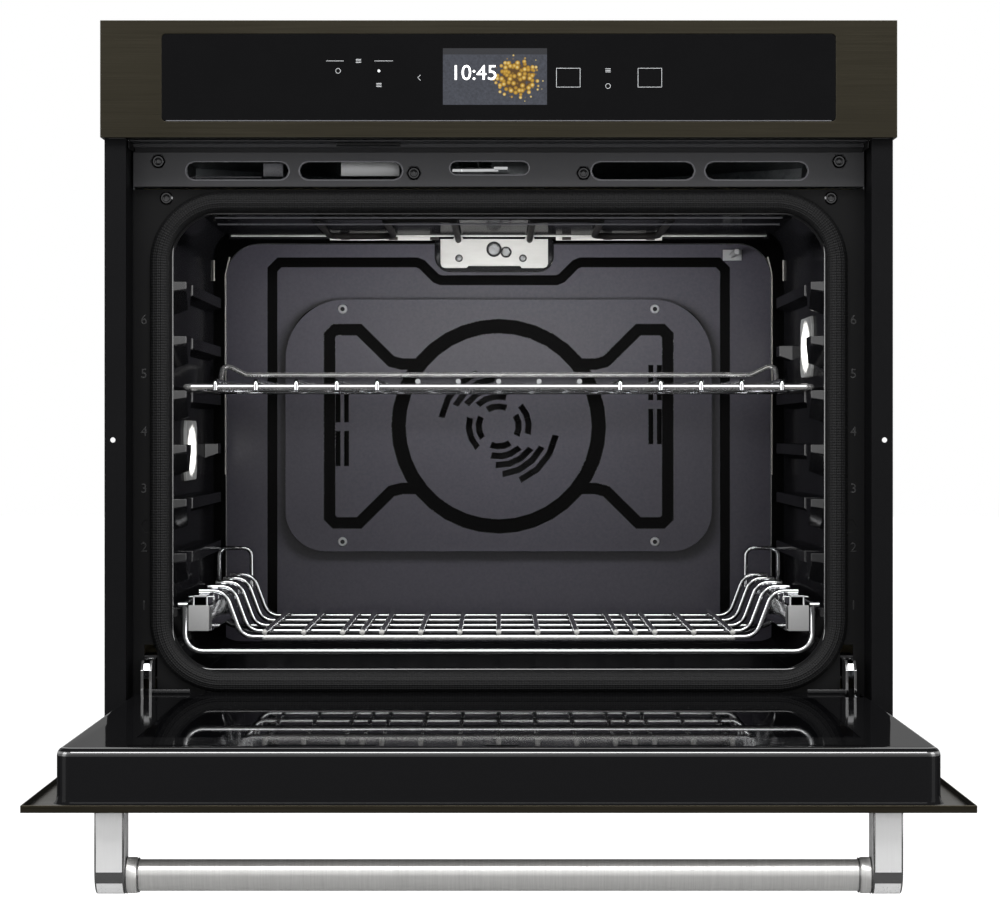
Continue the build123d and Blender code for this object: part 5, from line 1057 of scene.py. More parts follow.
def resampled(path: Sequence[Flat], pitch: float) -> list[Flat]:
    """Points at an even pitch along a closed outline.

    Args:
        path: The outline's points.
        pitch: Distance between the new points.

    Returns:
        The new points.
    """
    closed = [*path, path[0]]
    lengths = [0.0]
    for near, far in zip(closed, closed[1:]):
        lengths.append(lengths[-1] + math.dist(near, far))
    count = max(3, round(lengths[-1] / pitch))
    points: list[Flat] = []
    leg = 0
    for step in range(count):
        goal = lengths[-1] * step / count
        while lengths[leg + 1] < goal:
            leg += 1
        share = (goal - lengths[leg]) / max(lengths[leg + 1] - lengths[leg], 1e-9)
        near, far = closed[leg], closed[leg + 1]
        points.append((near[0] + (far[0] - near[0]) * share, near[1] + (far[1] - near[1]) * share))
    return points


def dress(
    nodes: str, finish: Finish, edge: float = 0.35, segments: int = 2, rim: Optional[Finish] = None
) -> None:
    """Give CAD nodes their finish and break their edges.

    Args:
        nodes: Names of the nodes, with spaces between.
        finish: Their finish.
        edge: Radius of their edges in millimetres, or nothing where they stay.
        segments: Steps across each edge.
        rim: Finish of the broken edges, where it isn't the pieces' own.
    """
    for node in nodes.split():
        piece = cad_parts[node]
        for slot in piece.material_slots:
            slot.material = finish.material()
        if not edge:
            continue
        weld = piece.modifiers.new("joined_corners", "WELD")
        weld.merge_threshold = 0.01 * MM
        plain = piece.modifiers.new("plain_faces", "DECIMATE")
        plain.decimate_type = "DISSOLVE"
        plain.angle_limit = math.radians(1)
        soft = piece.modifiers.new("broken_edges", "BEVEL")
        soft.width = edge * MM
        soft.segments = segments
        soft.limit_method = "ANGLE"
        soft.angle_limit = math.radians(24)
        soft.harden_normals = True
        if rim:
            piece.data.materials.append(rim.material())
            soft.material = len(piece.material_slots) - 1


# ---- Studio


@dataclass
class Studio:
    """Camera, soft lights and the pale floor.

    Attributes:
        distance: How far the eye stands before the oven's front, in metres.
        eye: Height of the eye in metres.
        lens: Focal length in millimetres.
        shift: Shift of the lens, across and up.
        floor: Height of the floor, below the cabinet that would carry the oven.
    """

    distance: float = 3.154
    eye: float = 0.3285
    lens: float = 117.6
    shift: Flat = (0.0013, -0.0245)
    floor: float = -0.78

    def build(self) -> None:
        """Make the camera, the world, the lights and the floor."""
        self.camera()
        self.world()
        self.lights()
        self.ground()
        look = bpy.context.scene.view_settings
        look.view_transform = "Standard"
        look.look = "None"

    def camera(self) -> None:
        """Stand the camera straight before the oven."""
        data = bpy.data.cameras.new("camera")
        data.lens, data.sensor_width, data.clip_end = self.lens, 36.0, 100.0
        data.shift_x, data.shift_y = self.shift
        camera = linked("camera", data)
        camera.location = (0.0, -self.distance, self.eye)
        camera.rotation_euler = (math.radians(90), 0.0, 0.0)
        bpy.context.scene.camera = camera

    def world(self) -> None:
        """Light from all round, held back straight before the oven as in a studio."""
        world = bpy.data.worlds.new("studio")
        bpy.context.scene.world = world
        world.use_nodes = True
        tree = world.node_tree
        tree.nodes.clear()
        place = add_node(tree, "TexCoord").outputs["Generated"]
        ahead = {"operation": "DOT_PRODUCT", 1: (0.0, -0.995, 0.0995)}
        facing = add_node(tree, "VectorMath", ahead, {0: place}).outputs["Value"]
        fade = {1: 0.62, 2: 0.95, 3: 1.0, 4: 0.7, "interpolation_type": "SMOOTHSTEP"}
        dim = add_node(tree, "MapRange", fade, {0: facing})
        away = add_node(tree, "MapRange", {1: -0.96, 2: -0.4, 3: 0.42, 4: 1.0}, {0: facing})
        both = add_node(tree, "Math", {"operation": "MULTIPLY"}, {0: dim, 1: away})
        seen = add_node(tree, "LightPath").outputs["Is Camera Ray"]
        level = add_node(tree, "Math", {"operation": "MAXIMUM"}, {0: both, 1: seen})
        sky = add_node(tree, "Background", {"Color": linear("#ffffff")}, {"Strength": level})
        add_node(tree, "OutputWorld", {}, {"Surface": sky})

    def area(self, name: str, spot: Point, across: Flat, power: float) -> Piece:
        """Hang a rectangular light.

        Args:
            name: Its name.
            spot: Its middle in metres.
            across: Its width and height in metres.
            power: Its power in watts.

        Returns:
            The light's object.
        """
        data = bpy.data.lights.new(name, "AREA")
        data.shape = "RECTANGLE"
        data.size, data.size_y = across
        data.energy = power
        lamp = linked(name, data)
        lamp.location = spot
        return lamp

    def lights(self) -> None:
        """Hang the soft boxes, and a bounce in the cavity that mirrors don't show."""
        aim = Vector((0.0, 0.0, 0.35))
        for name, spot, across, power in (
            ("key_box", (0.0, -2.6, 3.0), (3.4, 1.3), 95.0),
            ("left_box", (-3.2, -1.8, 1.2), (1.6, 2.4), 40.0),
            ("right_box", (3.2, -1.8, 1.2), (1.6, 2.4), 40.0),
        ):
            turn = (aim - Vector(spot)).to_track_quat("-Z", "Y")
            self.area(name, spot, across, power).rotation_euler = turn.to_euler()
        bounce = self.area("cavity_bounce", (0.0, 0.18, 0.44), (0.3, 0.12), 2.1)
        bounce.rotation_euler = (math.radians(90), 0.0, 0.0)
        bounce.visible_camera = bounce.visible_glossy = False

    def ground(self) -> None:
        """Lay the pale floor."""
        made = bmesh.new()
        bmesh.ops.create_grid(made, x_segments=8, y_segments=8, size=40.0)
        bmesh.ops.translate(made, verts=made.verts, vec=(0.0, 0.0, self.floor))
        ground = linked("floor", written(made, "floor"))
        ground.data.materials.append(FloorPaint("white_studio_floor").material())


# ---- Control panel


class Mark(Enum):
    """Plain signs printed on the touch glass."""

    RING = "ring"
    BARS = "bars"
    CHEVRON = "chevron"
    DOT = "dot"


@dataclass
class ControlPanel:
    """Fascia, touch glass, display picture and the electronics behind them.

    Attributes:
        ink: Thickness that the print stands proud of the glass, in millimetres.
        display: Width and height of the display picture.
        display_at: X and Z of its middle, from the glass's middle.
        clock: Size of the clock's type.
        signs: X and Z of each sign from the glass's middle, the sign and its width.
        lines: Left and right end of each printed line, from the glass's middle.
        keys: Left and right edge of each key's box.
    """

    ink: float = 0.05
    display: Flat = (99.5, 54.0)
    display_at: Flat = (-3.6, 1.1)
    clock: float = 20.25
    signs: tuple[tuple[float, float, Mark, float], ...] = (
        (-134, 16, Mark.BARS, 5),
        (-153.5, 6.5, Mark.RING, 4.6),
        (-114.5, 6.5, Mark.DOT, 7),
        (-114.5, -7, Mark.BARS, 5),
        (-76, 0, Mark.CHEVRON, 5.5),
        (104.5, 7, Mark.BARS, 5),
        (104.5, -8, Mark.RING, 4.6),
    )
    lines: tuple[Flat, ...] = ((-165, -148), (-119, -101))
    keys: tuple[Flat, ...] = ((55, 78), (133, 156))

    def build(self) -> None:
        """Dress the nodes and print the glass."""
        dress("control_fascia", BLACK_STAINLESS, 0.5)
        dress("control_glass", BLACK_GLASS, 0.3)
        dress("display_module", PLASTIC, 0)
        dress("control_shelf", SATIN_TRIM, 0.3)
        dress("control_board", BOARD, 0)
        low, high = size("control_glass")
        self.middle = ((low.x + high.x) / 2, (low.z + high.z) / 2)
        self.front = low.y
        self.picture()
        self.print_glass()

    def picture(self) -> None:
        """Set the lit display picture on the glass, with a clock."""
        x = self.middle[0] + self.display_at[0]
        z = self.middle[1] + self.display_at[1]
        half, rise = self.display[0] / 2, self.display[1] / 2
        glow = DisplayGlow("display_picture", self.display, (x, z))
        outline = [(x - half, z - rise), (x + half, z - rise), (x + half, z + rise), (x - half, z + rise)]
        mesh = extruded(outline, self.front - self.ink, self.front + 0.5)
        placed("display_picture", mesh, glow)
        spot = (x - 20, self.front - 2 * self.ink, z + 3)
        placed("display_clock", figures("10:45", self.clock, spot), LIT)

    def strip(self, outline: Sequence[Flat]) -> Mesh:
        """A thin printed patch on the glass."""
        return extruded(outline, self.front - self.ink, self.front + 0.2)

    def patch(self, left: float, right: float, low: float, high: float) -> Mesh:
        """A printed rectangle, by its limits in X and Z."""
        return self.strip([(left, low), (right, low), (right, high), (left, high)])

    def line(self, left: float, right: float, z: float, weight: float) -> Mesh:
        """A printed level line, by its X limits, its Z and its weight."""
        return self.patch(left, right, z - weight / 2, z + weight / 2)

    def box(self, left: float, right: float, low: float, high: float, weight: float) -> list[Mesh]:
        """A printed box outline, as four lines."""
        level = [self.line(left, right, z, weight) for z in (low, high)]
        return level + [self.patch(x, x + weight, low, high) for x in (left, right - weight)]

    def sign(self, mark: Mark, x: float, z: float, width: float) -> list[Mesh]:
        """Meshes of one plain sign round a place.

        Args:
            mark: Which sign.
            x: X of its middle in millimetres.
            z: Z of its middle in millimetres.
            width: Width of the sign in millimetres.

        Returns:
            The sign's thin meshes.
        """
        half = width / 2
        if mark is Mark.RING:
            route = at_depth(ring_points((x, z), half, 20), self.front)
            return [WIRE.sweep([route], 0.22, 0.0, PRINT, 6, True)]
        if mark is Mark.BARS:
            return [self.line(x - half, x + half, z + step * width * 0.3, 0.45) for step in (-1, 0, 1)]
        if mark is Mark.CHEVRON:
            bend = [(x + half / 2, z + half), (x - half / 2, z), (x + half / 2, z - half)]
            return [WIRE.sweep([at_depth(bend, self.front)], 0.25, 0.0, PRINT, 6)]
        return [self.strip(ring_points((x, z), half * 0.4, 14))]

    def print_glass(self) -> None:
        """Print lines, outlines and signs, as offsets from the glass's middle."""
        x0, z0 = self.middle
        ink = [self.line(x0 + left, x0 + right, z0 + 16, 0.35) for left, right in self.lines]
        for x, z, mark, width in self.signs:
            ink += self.sign(mark, x0 + x, z0 + z, width)
        for left, right in self.keys:
            ink += self.box(x0 + left, x0 + right, z0 - 9, z0 + 9, 0.35)
        low, high = size("control_glass")
        # A pale strip along the glass's lower edge: a painted highlight.
        edge = block((low.x + 4, low.y - 0.3, low.z), (high.x - 4, low.y + 0.3, low.z + 0.7), 0.1)
        placed("glass_lower_edge", edge, PALE_GREY_AND_HIGHLIGHT)
        placed("glass_print", joined(ink), PRINT)


# ---- Vent strip and front frame


@dataclass
class VentStrip:
    """Vent trim, its slot rims and what shows behind the slots.

    Attributes:
        slots: X of the middle and length of each air slot.
        slot_z: Height of the slots' middle.
        slot_height: Height of a slot.
        latch: X, Z, length and height of the latch's slot.
        rim: Radius of a slot's rolled rim.
        screws: X and Z of the vent trim's screws.
        frame_screws: How far the front frame's screws stand from the middle, and their Z.
        head: Radius and Y of each ring of a screw's head.
    """

    slots: tuple[Flat, ...] = ((-253.85, 99.3), (-143.55, 99.3), (140.15, 99.3), (250.45, 99.3))
    slot_z: float = 583.3
    slot_height: float = 16.6
    latch: Four = (-9.0, 586.0, 76.0, 12.0)
    rim: float = 0.8
    screws: tuple[Flat, ...] = ((-331.0, 592.5), (-82.5, 581.0), (82.5, 581.0), (331.0, 592.5))
    frame_screws: Flat = (324.0, 557.5)
    head: tuple[Flat, ...] = (
        (0.0, -1.2),
        (1.8, -1.2),
        (2.2, -2.8),
        (3.2, -3.0),
        (3.8, -2.2),
        (5.0, -2.2),
        (6.3, -1.2),
        (6.5, 0.0),
    )

    def build(self) -> None:
        """Dress the strip and add its rims and screws."""
        dress("vent_trim", SATIN_TRIM, 0.4)
        dress("lower_vent_trim", SATIN_TRIM, 0.3)
        dress("side_trim_left side_trim_right", BLACK_TRIM, 0.3)
        dress("air_duct latch_motor", ZINC, 0.2)
        dress("latch_hook", CHROME, 0.2)
        self.front = size("vent_trim")[0].y
        x, z, length, height = self.latch
        slots = [(x, self.slot_z, length, self.slot_height) for x, length in self.slots]
        routes = []
        for x, z, length, height in [*slots, self.latch]:
            rim = slot_points((x, z), length + 2 * self.rim, height + 2 * self.rim, 12)
            routes.append(at_depth(rim, self.front + 0.6))
        # The rims' paler paint is a painted highlight.
        placed("vent_slot_rims", WIRE.sweep(routes, self.rim, 0.0, PALE_GREY_AND_HIGHLIGHT, 10, True), PALE_GREY_AND_HIGHLIGHT)
        self.set_screws()
        self.behind_slots()

    def behind_slots(self) -> None:
        """Place the brushed bracket, the sensor block with its wire and the cable tray's end."""
        upright = block((-154.0, 38.0, 579.5), (-97.0, 39.2, 594.0), 0.3, BRIGHT_SHEET)
        flange = block((-154.0, 38.0, 594.0), (-97.0, 60.0, 595.0), 0.2, BRIGHT_SHEET)
        placed("duct_mounting_bracket", joined([upright, flange]))
        placed("door_sensor_block", block((-230.0, 38.0, 579.0), (-211.0, 50.0, 592.0), 0.8), PALE_GREY_AND_HIGHLIGHT)
        wire = [(-300.0, 40.0, 578.5), (-232.0, 40.0, 578.5)]
        placed("sensor_wire", WIRE.sweep([wire], 0.8, 0.0, PALE_GREY_AND_HIGHLIGHT, 10), PALE_GREY_AND_HIGHLIGHT)
        placed("cable_tray_end", block((-157.0, 2.0, 606.3), (-95.0, 14.0, 609.3), 0.6), PLASTIC)

    def set_screws(self) -> None:
        """Set domed socket screws where the CAD screws sit."""
        cup_depth = 3.2
        reach, z = self.frame_screws
        face = size("front_frame")[0].y
        seats = at_depth(self.screws, self.front + cup_depth) + [(x, face, z) for x in (-reach, reach)]
        mesh = COPIES.repeat(turned(self.head), seats, BLACK_OXIDE)
        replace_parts(placed("black_socket_screws", mesh, BLACK_OXIDE), "chassis_screws")


@dataclass
class MouthFrame:
    """Front frame, its rack numbers and the woven gasket round the mouth.

    Attributes:
        number_x: How far from the middle the numbers stand.
        levels: Height of each rack level's number, from the top.
        gasket_width: Width of the gasket's bead.
        section_steps: Steps across the bead.
        ridges: Height of the bead's ridges, as a share of its own.
        row: How far the weave runs for one step across the bead.
    """

    number_x: float = 346.0
    levels: tuple[float, ...] = (438.5, 386.0, 329.5, 274.0, 216.5, 160.0)
    gasket_width: float = 20.0
    section_steps: int = 22
    ridges: float = 0.035
    row: float = 1.4

    def build(self) -> None:
        """Dress the frame and make numbers and gasket."""
        dress("front_frame", FRAME_ENAMEL, 0.4)
        self.numbers()
        self.gasket()
        self.gap_shade()

    def gap_shade(self) -> None:
        """Close the see-through gap between the case and each side trim with black strips: painted shade."""
        low, high = size("side_trim_left")
        strips = []
        for side in (-1, 1):
            behind = ((354.2, high.y + 0.4, low.z), (359.5, high.y + 2.0, high.z + 1.6), 0.2)
            corner = ((355.4, low.y + 12.0, high.z - 8.0), (356.6, high.y, high.z - 0.1), 0.1)
            strips += [sided(side, *behind), sided(side, *corner)]
        placed("case_edge_foam", joined(strips), PLASTIC)

    def numbers(self) -> None:
        """Emboss the plain rack numbers on both sides."""
        front = size("front_frame")[0].y
        shapes = []
        for count, z in enumerate(self.levels):
            for x in (-self.number_x, self.number_x):
                shapes.append(figures(str(len(self.levels) - count), 13, (x, front, z), 0.3, 0.15))
        # The numbers' paler enamel is a painted highlight.
        placed("embossed_rack_numbers", joined(shapes), PALE_ENAMEL_HIGHLIGHT)

    def section(self, depth: float) -> list[Flat]:
        """Domed, ridged section of the gasket.

        Args:
            depth: Height of the dome in millimetres.

        Returns:
            How far across and how high each point of it stands.
        """
        points = []
        for step in range(self.section_steps + 1):
            turn = math.pi * step / self.section_steps
            ridge = (1 + self.ridges * math.cos(14 * turn)) / (1 + self.ridges)
            points.append((-math.cos(turn) * self.gasket_width / 2, math.sin(turn) ** 0.6 * depth * ridge))
        return points

    def gasket(self) -> None:
        """Sweep the gasket's bead round the mouth, with a UV map for its weave."""
        low, high = size("door_gasket")
        middle = self.gasket_width / 2
        path = rounded_points(high.x - middle, low.z + middle, high.z - middle, 60, 28)
        path = resampled(path, 5.0)
        section = self.section(high.y - low.y)
        made = bmesh.new()
        layer = made.loops.layers.uv.new("UVMap")
        rings, lengths = [], [0.0]
        for place, here in enumerate(path):
            before, after = path[place - 1], path[(place + 1) % len(path)]
            along = Vector((after[0] - before[0], after[1] - before[1])).normalized()
            spots = [(here[0] + along.y * a, high.y - rise, here[1] - along.x * a) for a, rise in section]
            rings.append([made.verts.new(metres(spot)) for spot in spots])
            lengths.append(lengths[-1] + math.dist(here, after))
        for place, near in enumerate(rings):
            far = rings[(place + 1) % len(rings)]
            start, end = lengths[place : place + 2]
            for step in range(self.section_steps):
                face = made.faces.new((near[step], near[step + 1], far[step + 1], far[step]))
                corners = ((start, step), (start, step + 1), (end, step + 1), (end, step))
                for loop, (u, v) in zip(face.loops, corners):
                    loop[layer].uv = (u * MM, v * self.row * MM)
            made.faces.new((near[0], far[0], far[-1], near[-1]))
        bmesh.ops.recalc_face_normals(made, faces=made.faces)
        bead = placed("woven_gasket", shaded(written(made, "gasket"), 50), BRAID)
        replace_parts(bead, "door_gasket")


# ---- Cavity


@dataclass
class Cavity:
    """Enamelled cavity, its fan cover, lamps, heaters and fittings.

    Attributes:
        tube: Radius of the heaters' sheath.
        broil_z: Height of the grill heater.
        pitch: Spacing of its legs.
        hub_x: X of the hub plate's middle.
        panel: Half width, bottom, top and corner of the back wall's pressed panel.
        rod_ends: How far the guard rods reach from the middle.
        rods: Y and Z of each guard rod.
        clips: X of each clip on the reflector's ledge.
        cover_screws: How far the fan cover's screws stand from the middle, and their two heights.
    """

    tube: float = 3.5
    broil_z: float = 545.0
    pitch: float = 70.0
    hub_x: float = -5.0
    panel: Four = (306.0, 104.0, 541.0, 38.0)
    rod_ends: float = 280.0
    rods: tuple[Flat, ...] = ((70.0, 541.0), (102.0, 536.6))
    clips: tuple[float, ...] = (-172.0, -118.0, -72.0, 76.0, 122.0, 170.0)
    cover_screws: Point = (174.5, 207.0, 467.0)

    def build(self) -> None:
        """Dress the cavity and add its round parts."""
        dress("cavity_wall_left cavity_wall_right", WALL_ENAMEL, 3.0, 4)
        dress("cavity_floor", FLOOR_ENAMEL, 0.5)
        dress("cavity_ceiling broil_reflector", WALL_ENAMEL, 0)
        low, high = size("fan_baffle")
        # Outline of the fan cover: the back wall gets painted shade behind it, and also past the panel's
        # outline.
        shade = (high.x - 3, low.z + 3, high.z - 3, 52.0)
        self.wall = size("cavity_back")[0].y
        half, _, top, corner = self.panel
        back = Pressed("grey_porcelain_back_wall", self.wall, (half, top + 1, corner), shade)
        dress("cavity_back", back, 0.3, 2)
        # The fan cover's grooves and slots get painted shade; its rounded rim takes the paler enamel as a
        # painted highlight.
        dress("fan_baffle", Pressed("grey_porcelain_fan_cover", low.y), 0.8, 3, PALE_ENAMEL_HIGHLIGHT)
        dress("convection_fan", FRAME_ENAMEL, 0)
        dress("convection_motor", MOTOR, 0.6)
        dress("convection_element bake_element", HEATER, 0)
        dress("temperature_probe", BRIGHT_SHEET, 0.3)
        for side in ("left", "right"):
            low, high = size(f"oven_lamp_{side}")
            across = (high.y - low.y, high.z - low.z)
            lens = LampLens(f"frosted_lens_{side}", tuple((low + high) / 2), across)
            dress(f"oven_lamp_{side}", lens, 1.2, 3)
        self.hub_plate()
        self.grill()
        self.reflector_lip()
        self.rolled_mouth()
        self.back_bead()
        self.hub_fixings()
        self.baffle_screws()

    def grill(self) -> None:
        """Bend the grill heater as one smooth tube with its clips."""
        low, high = size("broil_element")
        back, front, x0 = high.y, low.y + self.tube, (low.x + high.x) / 2
        narrow, middle, wide = 40.0, 40.0 + self.pitch, 40.0 + 2 * self.pitch
        turn, near = back - self.pitch, front + 40.0
        half = [(narrow, back), (narrow, near), (middle, near), (middle, turn), (wide, turn), (wide, front)]
        route = [(x0 - x, y, self.broil_z) for x, y in half]
        route += [(x0 + x, y, self.broil_z) for x, y in reversed(half)]
        parts = [WIRE.sweep([route], self.tube, self.pitch * 0.35, SOOTED, 16)]
        for x in (x0 - middle, x0 + middle):
            for y in (front + 2 * self.pitch, turn - self.pitch):
                parts.append(block((x - 3, y - 5, self.broil_z + 2), (x + 3, y + 5, high.z), 0.4, SOOTED))
        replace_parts(placed("grill_heater", joined(parts)), "broil_element")

    def reflector_lip(self) -> None:
        """Lay the bright strip and clipped ledge on the reflector's rear edge, and the guard rods."""
        low, high = size("broil_reflector")
        hub_low, hub_high = size("attachment_hub_plate")
        rear = high.y - 1.2
        parts = [block((low.x + 2, rear - 0.8, 548.4), (high.x - 2, rear, 551.8), 0.3, HUB_PLATE)]
        for left, right in ((-189.0, hub_low.x - 1), (hub_high.x + 1, 183.0)):
            parts.append(block((left, rear - 0.6, 544.2), (right, rear, 548.2), 0.3, HUB_PLATE))
        for x in self.clips:
            parts.append(block((x - 5, rear - 1.6, 544.6), (x + 5, rear - 0.2, 548.0), 0.4, HEATER))
        placed("reflector_rear_lip", joined(parts))
        # The guard rods' paler paint draws light lines: painted highlight.
        rods = [[(-self.rod_ends, y, z), (self.rod_ends, y, z)] for y, z in self.rods]
        placed("heater_guard_rods", WIRE.sweep(rods, 0.9, 0.0, PALE_GREY_AND_HIGHLIGHT, 8), PALE_GREY_AND_HIGHLIGHT)

    def back_bead(self) -> None:
        """Press the bead round the back wall's panel, with pale painted highlights on its upright runs and
        at the rear corners.
        """
        path = at_depth(rounded_points(*self.panel, 12), self.wall - 0.3)
        parts = [WIRE.sweep([path], 1.1, 0.0, GLOSS_LIP, 10, True)]
        edges = [[(x, 282.0), (x, 506.0), (x * 0.985, 526.0)] for x in (-306.6, 306.6)]
        painted_highlights = [at_depth(edge, self.wall - 0.6) for edge in edges]
        parts.append(WIRE.sweep(painted_highlights, 0.9, 12.0, PAINTED_HIGHLIGHT_BEAD, 10))
        # Short pale streaks at the cavity's rear corners: painted highlights.
        corner_glints = [at_depth([(x, 499.0), (x, 522.0)], self.wall - 7.0) for x in (-319.0, 319.0)]
        parts.append(WIRE.sweep(corner_glints, 1.0, 0.0, PAINTED_HIGHLIGHT_BEAD, 10))
        placed("back_panel_bead", joined(parts))

    def hub_plate(self) -> None:
        """Set the bright hub plate in its black pressed recess and hide the plain one."""
        low, high = size("attachment_hub_plate")
        recess = [(x + self.hub_x, z) for x, z in rounded_points(66.0, 509.5, 556.0, 17, 8)]
        dark = extruded(recess, self.wall - 0.9, self.wall - 0.2, 0.2)
        dark.materials.append(WALL_ENAMEL.material())
        ring = WIRE.sweep([at_depth(recess, self.wall - 0.9)], 0.9, 0.0, GLOSS_LIP, 8, True)
        half, foot = 60.3, 513.5
        outline = [(-half, high.z), (-half, foot + 5), (-half + 1.5, foot + 1.5), (-half + 5, foot)]
        outline += [(-31.0, foot), (-29.0, foot + 2.4)]
        outline += [(-x, z) for x, z in reversed(outline)]
        plate = extruded([(x + self.hub_x, z) for x, z in outline], low.y, low.y + 2.0, 0.5)
        plate.materials.append(HUB_PLATE.material())
        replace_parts(placed("attachment_hub", joined([dark, ring, plate])), "attachment_hub_plate")

    def hub_fixings(self) -> None:
        """Fix the hub plate with its screw, nut and rivets, each on a dark ring."""
        face = size("attachment_hub_plate")[0].y
        screw = turned([(0.0, -1.0), (2.0, -1.0), (2.4, -2.6), (5.4, -2.4), (6.4, -1.0), (6.5, 0.0)])
        rivet = turned([(0.0, -1.4), (1.4, -1.3), (2.6, -0.6), (3.0, 0.0)], 16)
        nut = turned([(0.0, -2.6), (2.0, -2.6), (2.2, -3.2), (4.2, -3.2), (4.6, -2.6), (4.8, 0.0)], 6)
        shadows, heads = [], []
        for x, z, reach, head in (
            (-5.3, 534.6, 8.4, screw),
            (8.2, 531.3, 6.0, nut),
            (-44.5, 524.5, 4.0, rivet),
            (27.2, 524.5, 4.0, rivet),
        ):
            ring = turned([(0.0, -0.3), (reach, -0.3), (reach + 0.3, 0.0)])
            shadows.append(COPIES.repeat(ring, [(x, face, z)], MOTOR))
            heads.append(COPIES.repeat(head, [(x, face, z)], BRIGHT_SHEET))
        placed("hub_plate_fixings", joined(shadows + heads))

    def rolled_mouth(self) -> None:
        """Roll the enamelled lip round the mouth, just inside the gasket."""
        low, high = size("door_gasket")
        inset = 21.6
        path = rounded_points(high.x - inset, low.z + inset, high.z - inset, 40, 16)
        route = at_depth(path, size("front_frame")[1].y - 0.6)
        placed("rolled_mouth_lip", WIRE.sweep([route], 1.3, 0.0, GLOSS_LIP, 10, True), GLOSS_LIP)

    def baffle_screws(self) -> None:
        """Set bright ring-headed screws on the fan cover, with a dark disc in each socket as painted shade.
        """
        head = turned([(0.0, -1.0), (2.4, -1.0), (2.8, -2.2), (4.2, -2.2), (5.0, -1.0), (5.2, 0.0)])
        # Dark disc in each socket: painted shade.
        socket = turned([(0.0, -1.5), (1.9, -1.5), (2.5, -1.3), (2.6, 0.0)])
        front = size("fan_baffle")[0].y
        reach, *heights = self.cover_screws
        seats = [(x, front, z) for x in (-reach, reach) for z in heights]
        parts = [COPIES.repeat(head, seats, BRIGHT_SHEET), COPIES.repeat(socket, seats, PLASTIC)]
        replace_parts(placed("cover_screws", joined(parts)), "baffle_screws")


# ---- Racks


@dataclass
class FlatRack:
    """Chrome flat rack with a raised rear rail.

    Attributes:
        rod: Radius of the frame's rod.
        wire: Radius of the long wires.
        side_x: How far the side rods stand from the middle.
        level: Height of the side rods.
        front: Y of the front rod.
        rear: Y of the rear rail.
        ramp: How far the side rods rise to the rear rail.
        pitch: Spacing of the long wires.
        reach: Number of long wires on each side of the middle one.
    """

    rod: float = 3.0
    wire: float = 2.5
    side_x: float = 307.0
    level: float = 373.6
    front: float = 46.0
    rear: float = 470.0
    ramp: float = 28.4
    pitch: float = 39.6
    reach: int = 7

    def build(self) -> None:
        """Bend the frame and lay the wires."""
        x, z = self.side_x, self.level
        side = [
            (x, self.front, z),
            (x, self.rear - self.ramp, z),
            (x, self.rear, z + self.ramp),
            (x - 9, self.rear, z + self.ramp),
            (x - 27, self.rear, z + 19.4),
        ]
        # The frame loop takes the brightened chrome: painted light.
        parts = [WIRE.sweep([mirrored(side)], self.rod, 7.5, BRIGHTENED_CHROME, 16, True)]
        last = self.rear - 2 * self.ramp
        crosses = [[(3 - x, y, z), (x - 3, y, z)] for y in ((self.front + self.rear) / 2, last)]
        parts.append(WIRE.sweep(crosses, self.rod, 0, CHROME, 16))
        high = z + self.rod + self.wire
        tip = self.front - self.rod - self.wire
        plain, hooked = [], []
        for place in range(-self.reach, self.reach + 1):
            x = place * self.pitch
            if abs(place) <= 2:
                plain.append([(x, self.front - 2.4, high), (x, last + 6, high)])
            else:
                hooked.append([(x, last + 6, high), (x, tip, high), (x, tip, z - self.rod)])
        parts.append(WIRE.sweep(plain, self.wire, 0, CHROME, 12))
        parts.append(WIRE.sweep(hooked, self.wire, 3.2, CHROME, 12))
        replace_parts(placed("chrome_flat_rack", joined(parts), None, "flat_rack"), "flat_rack")


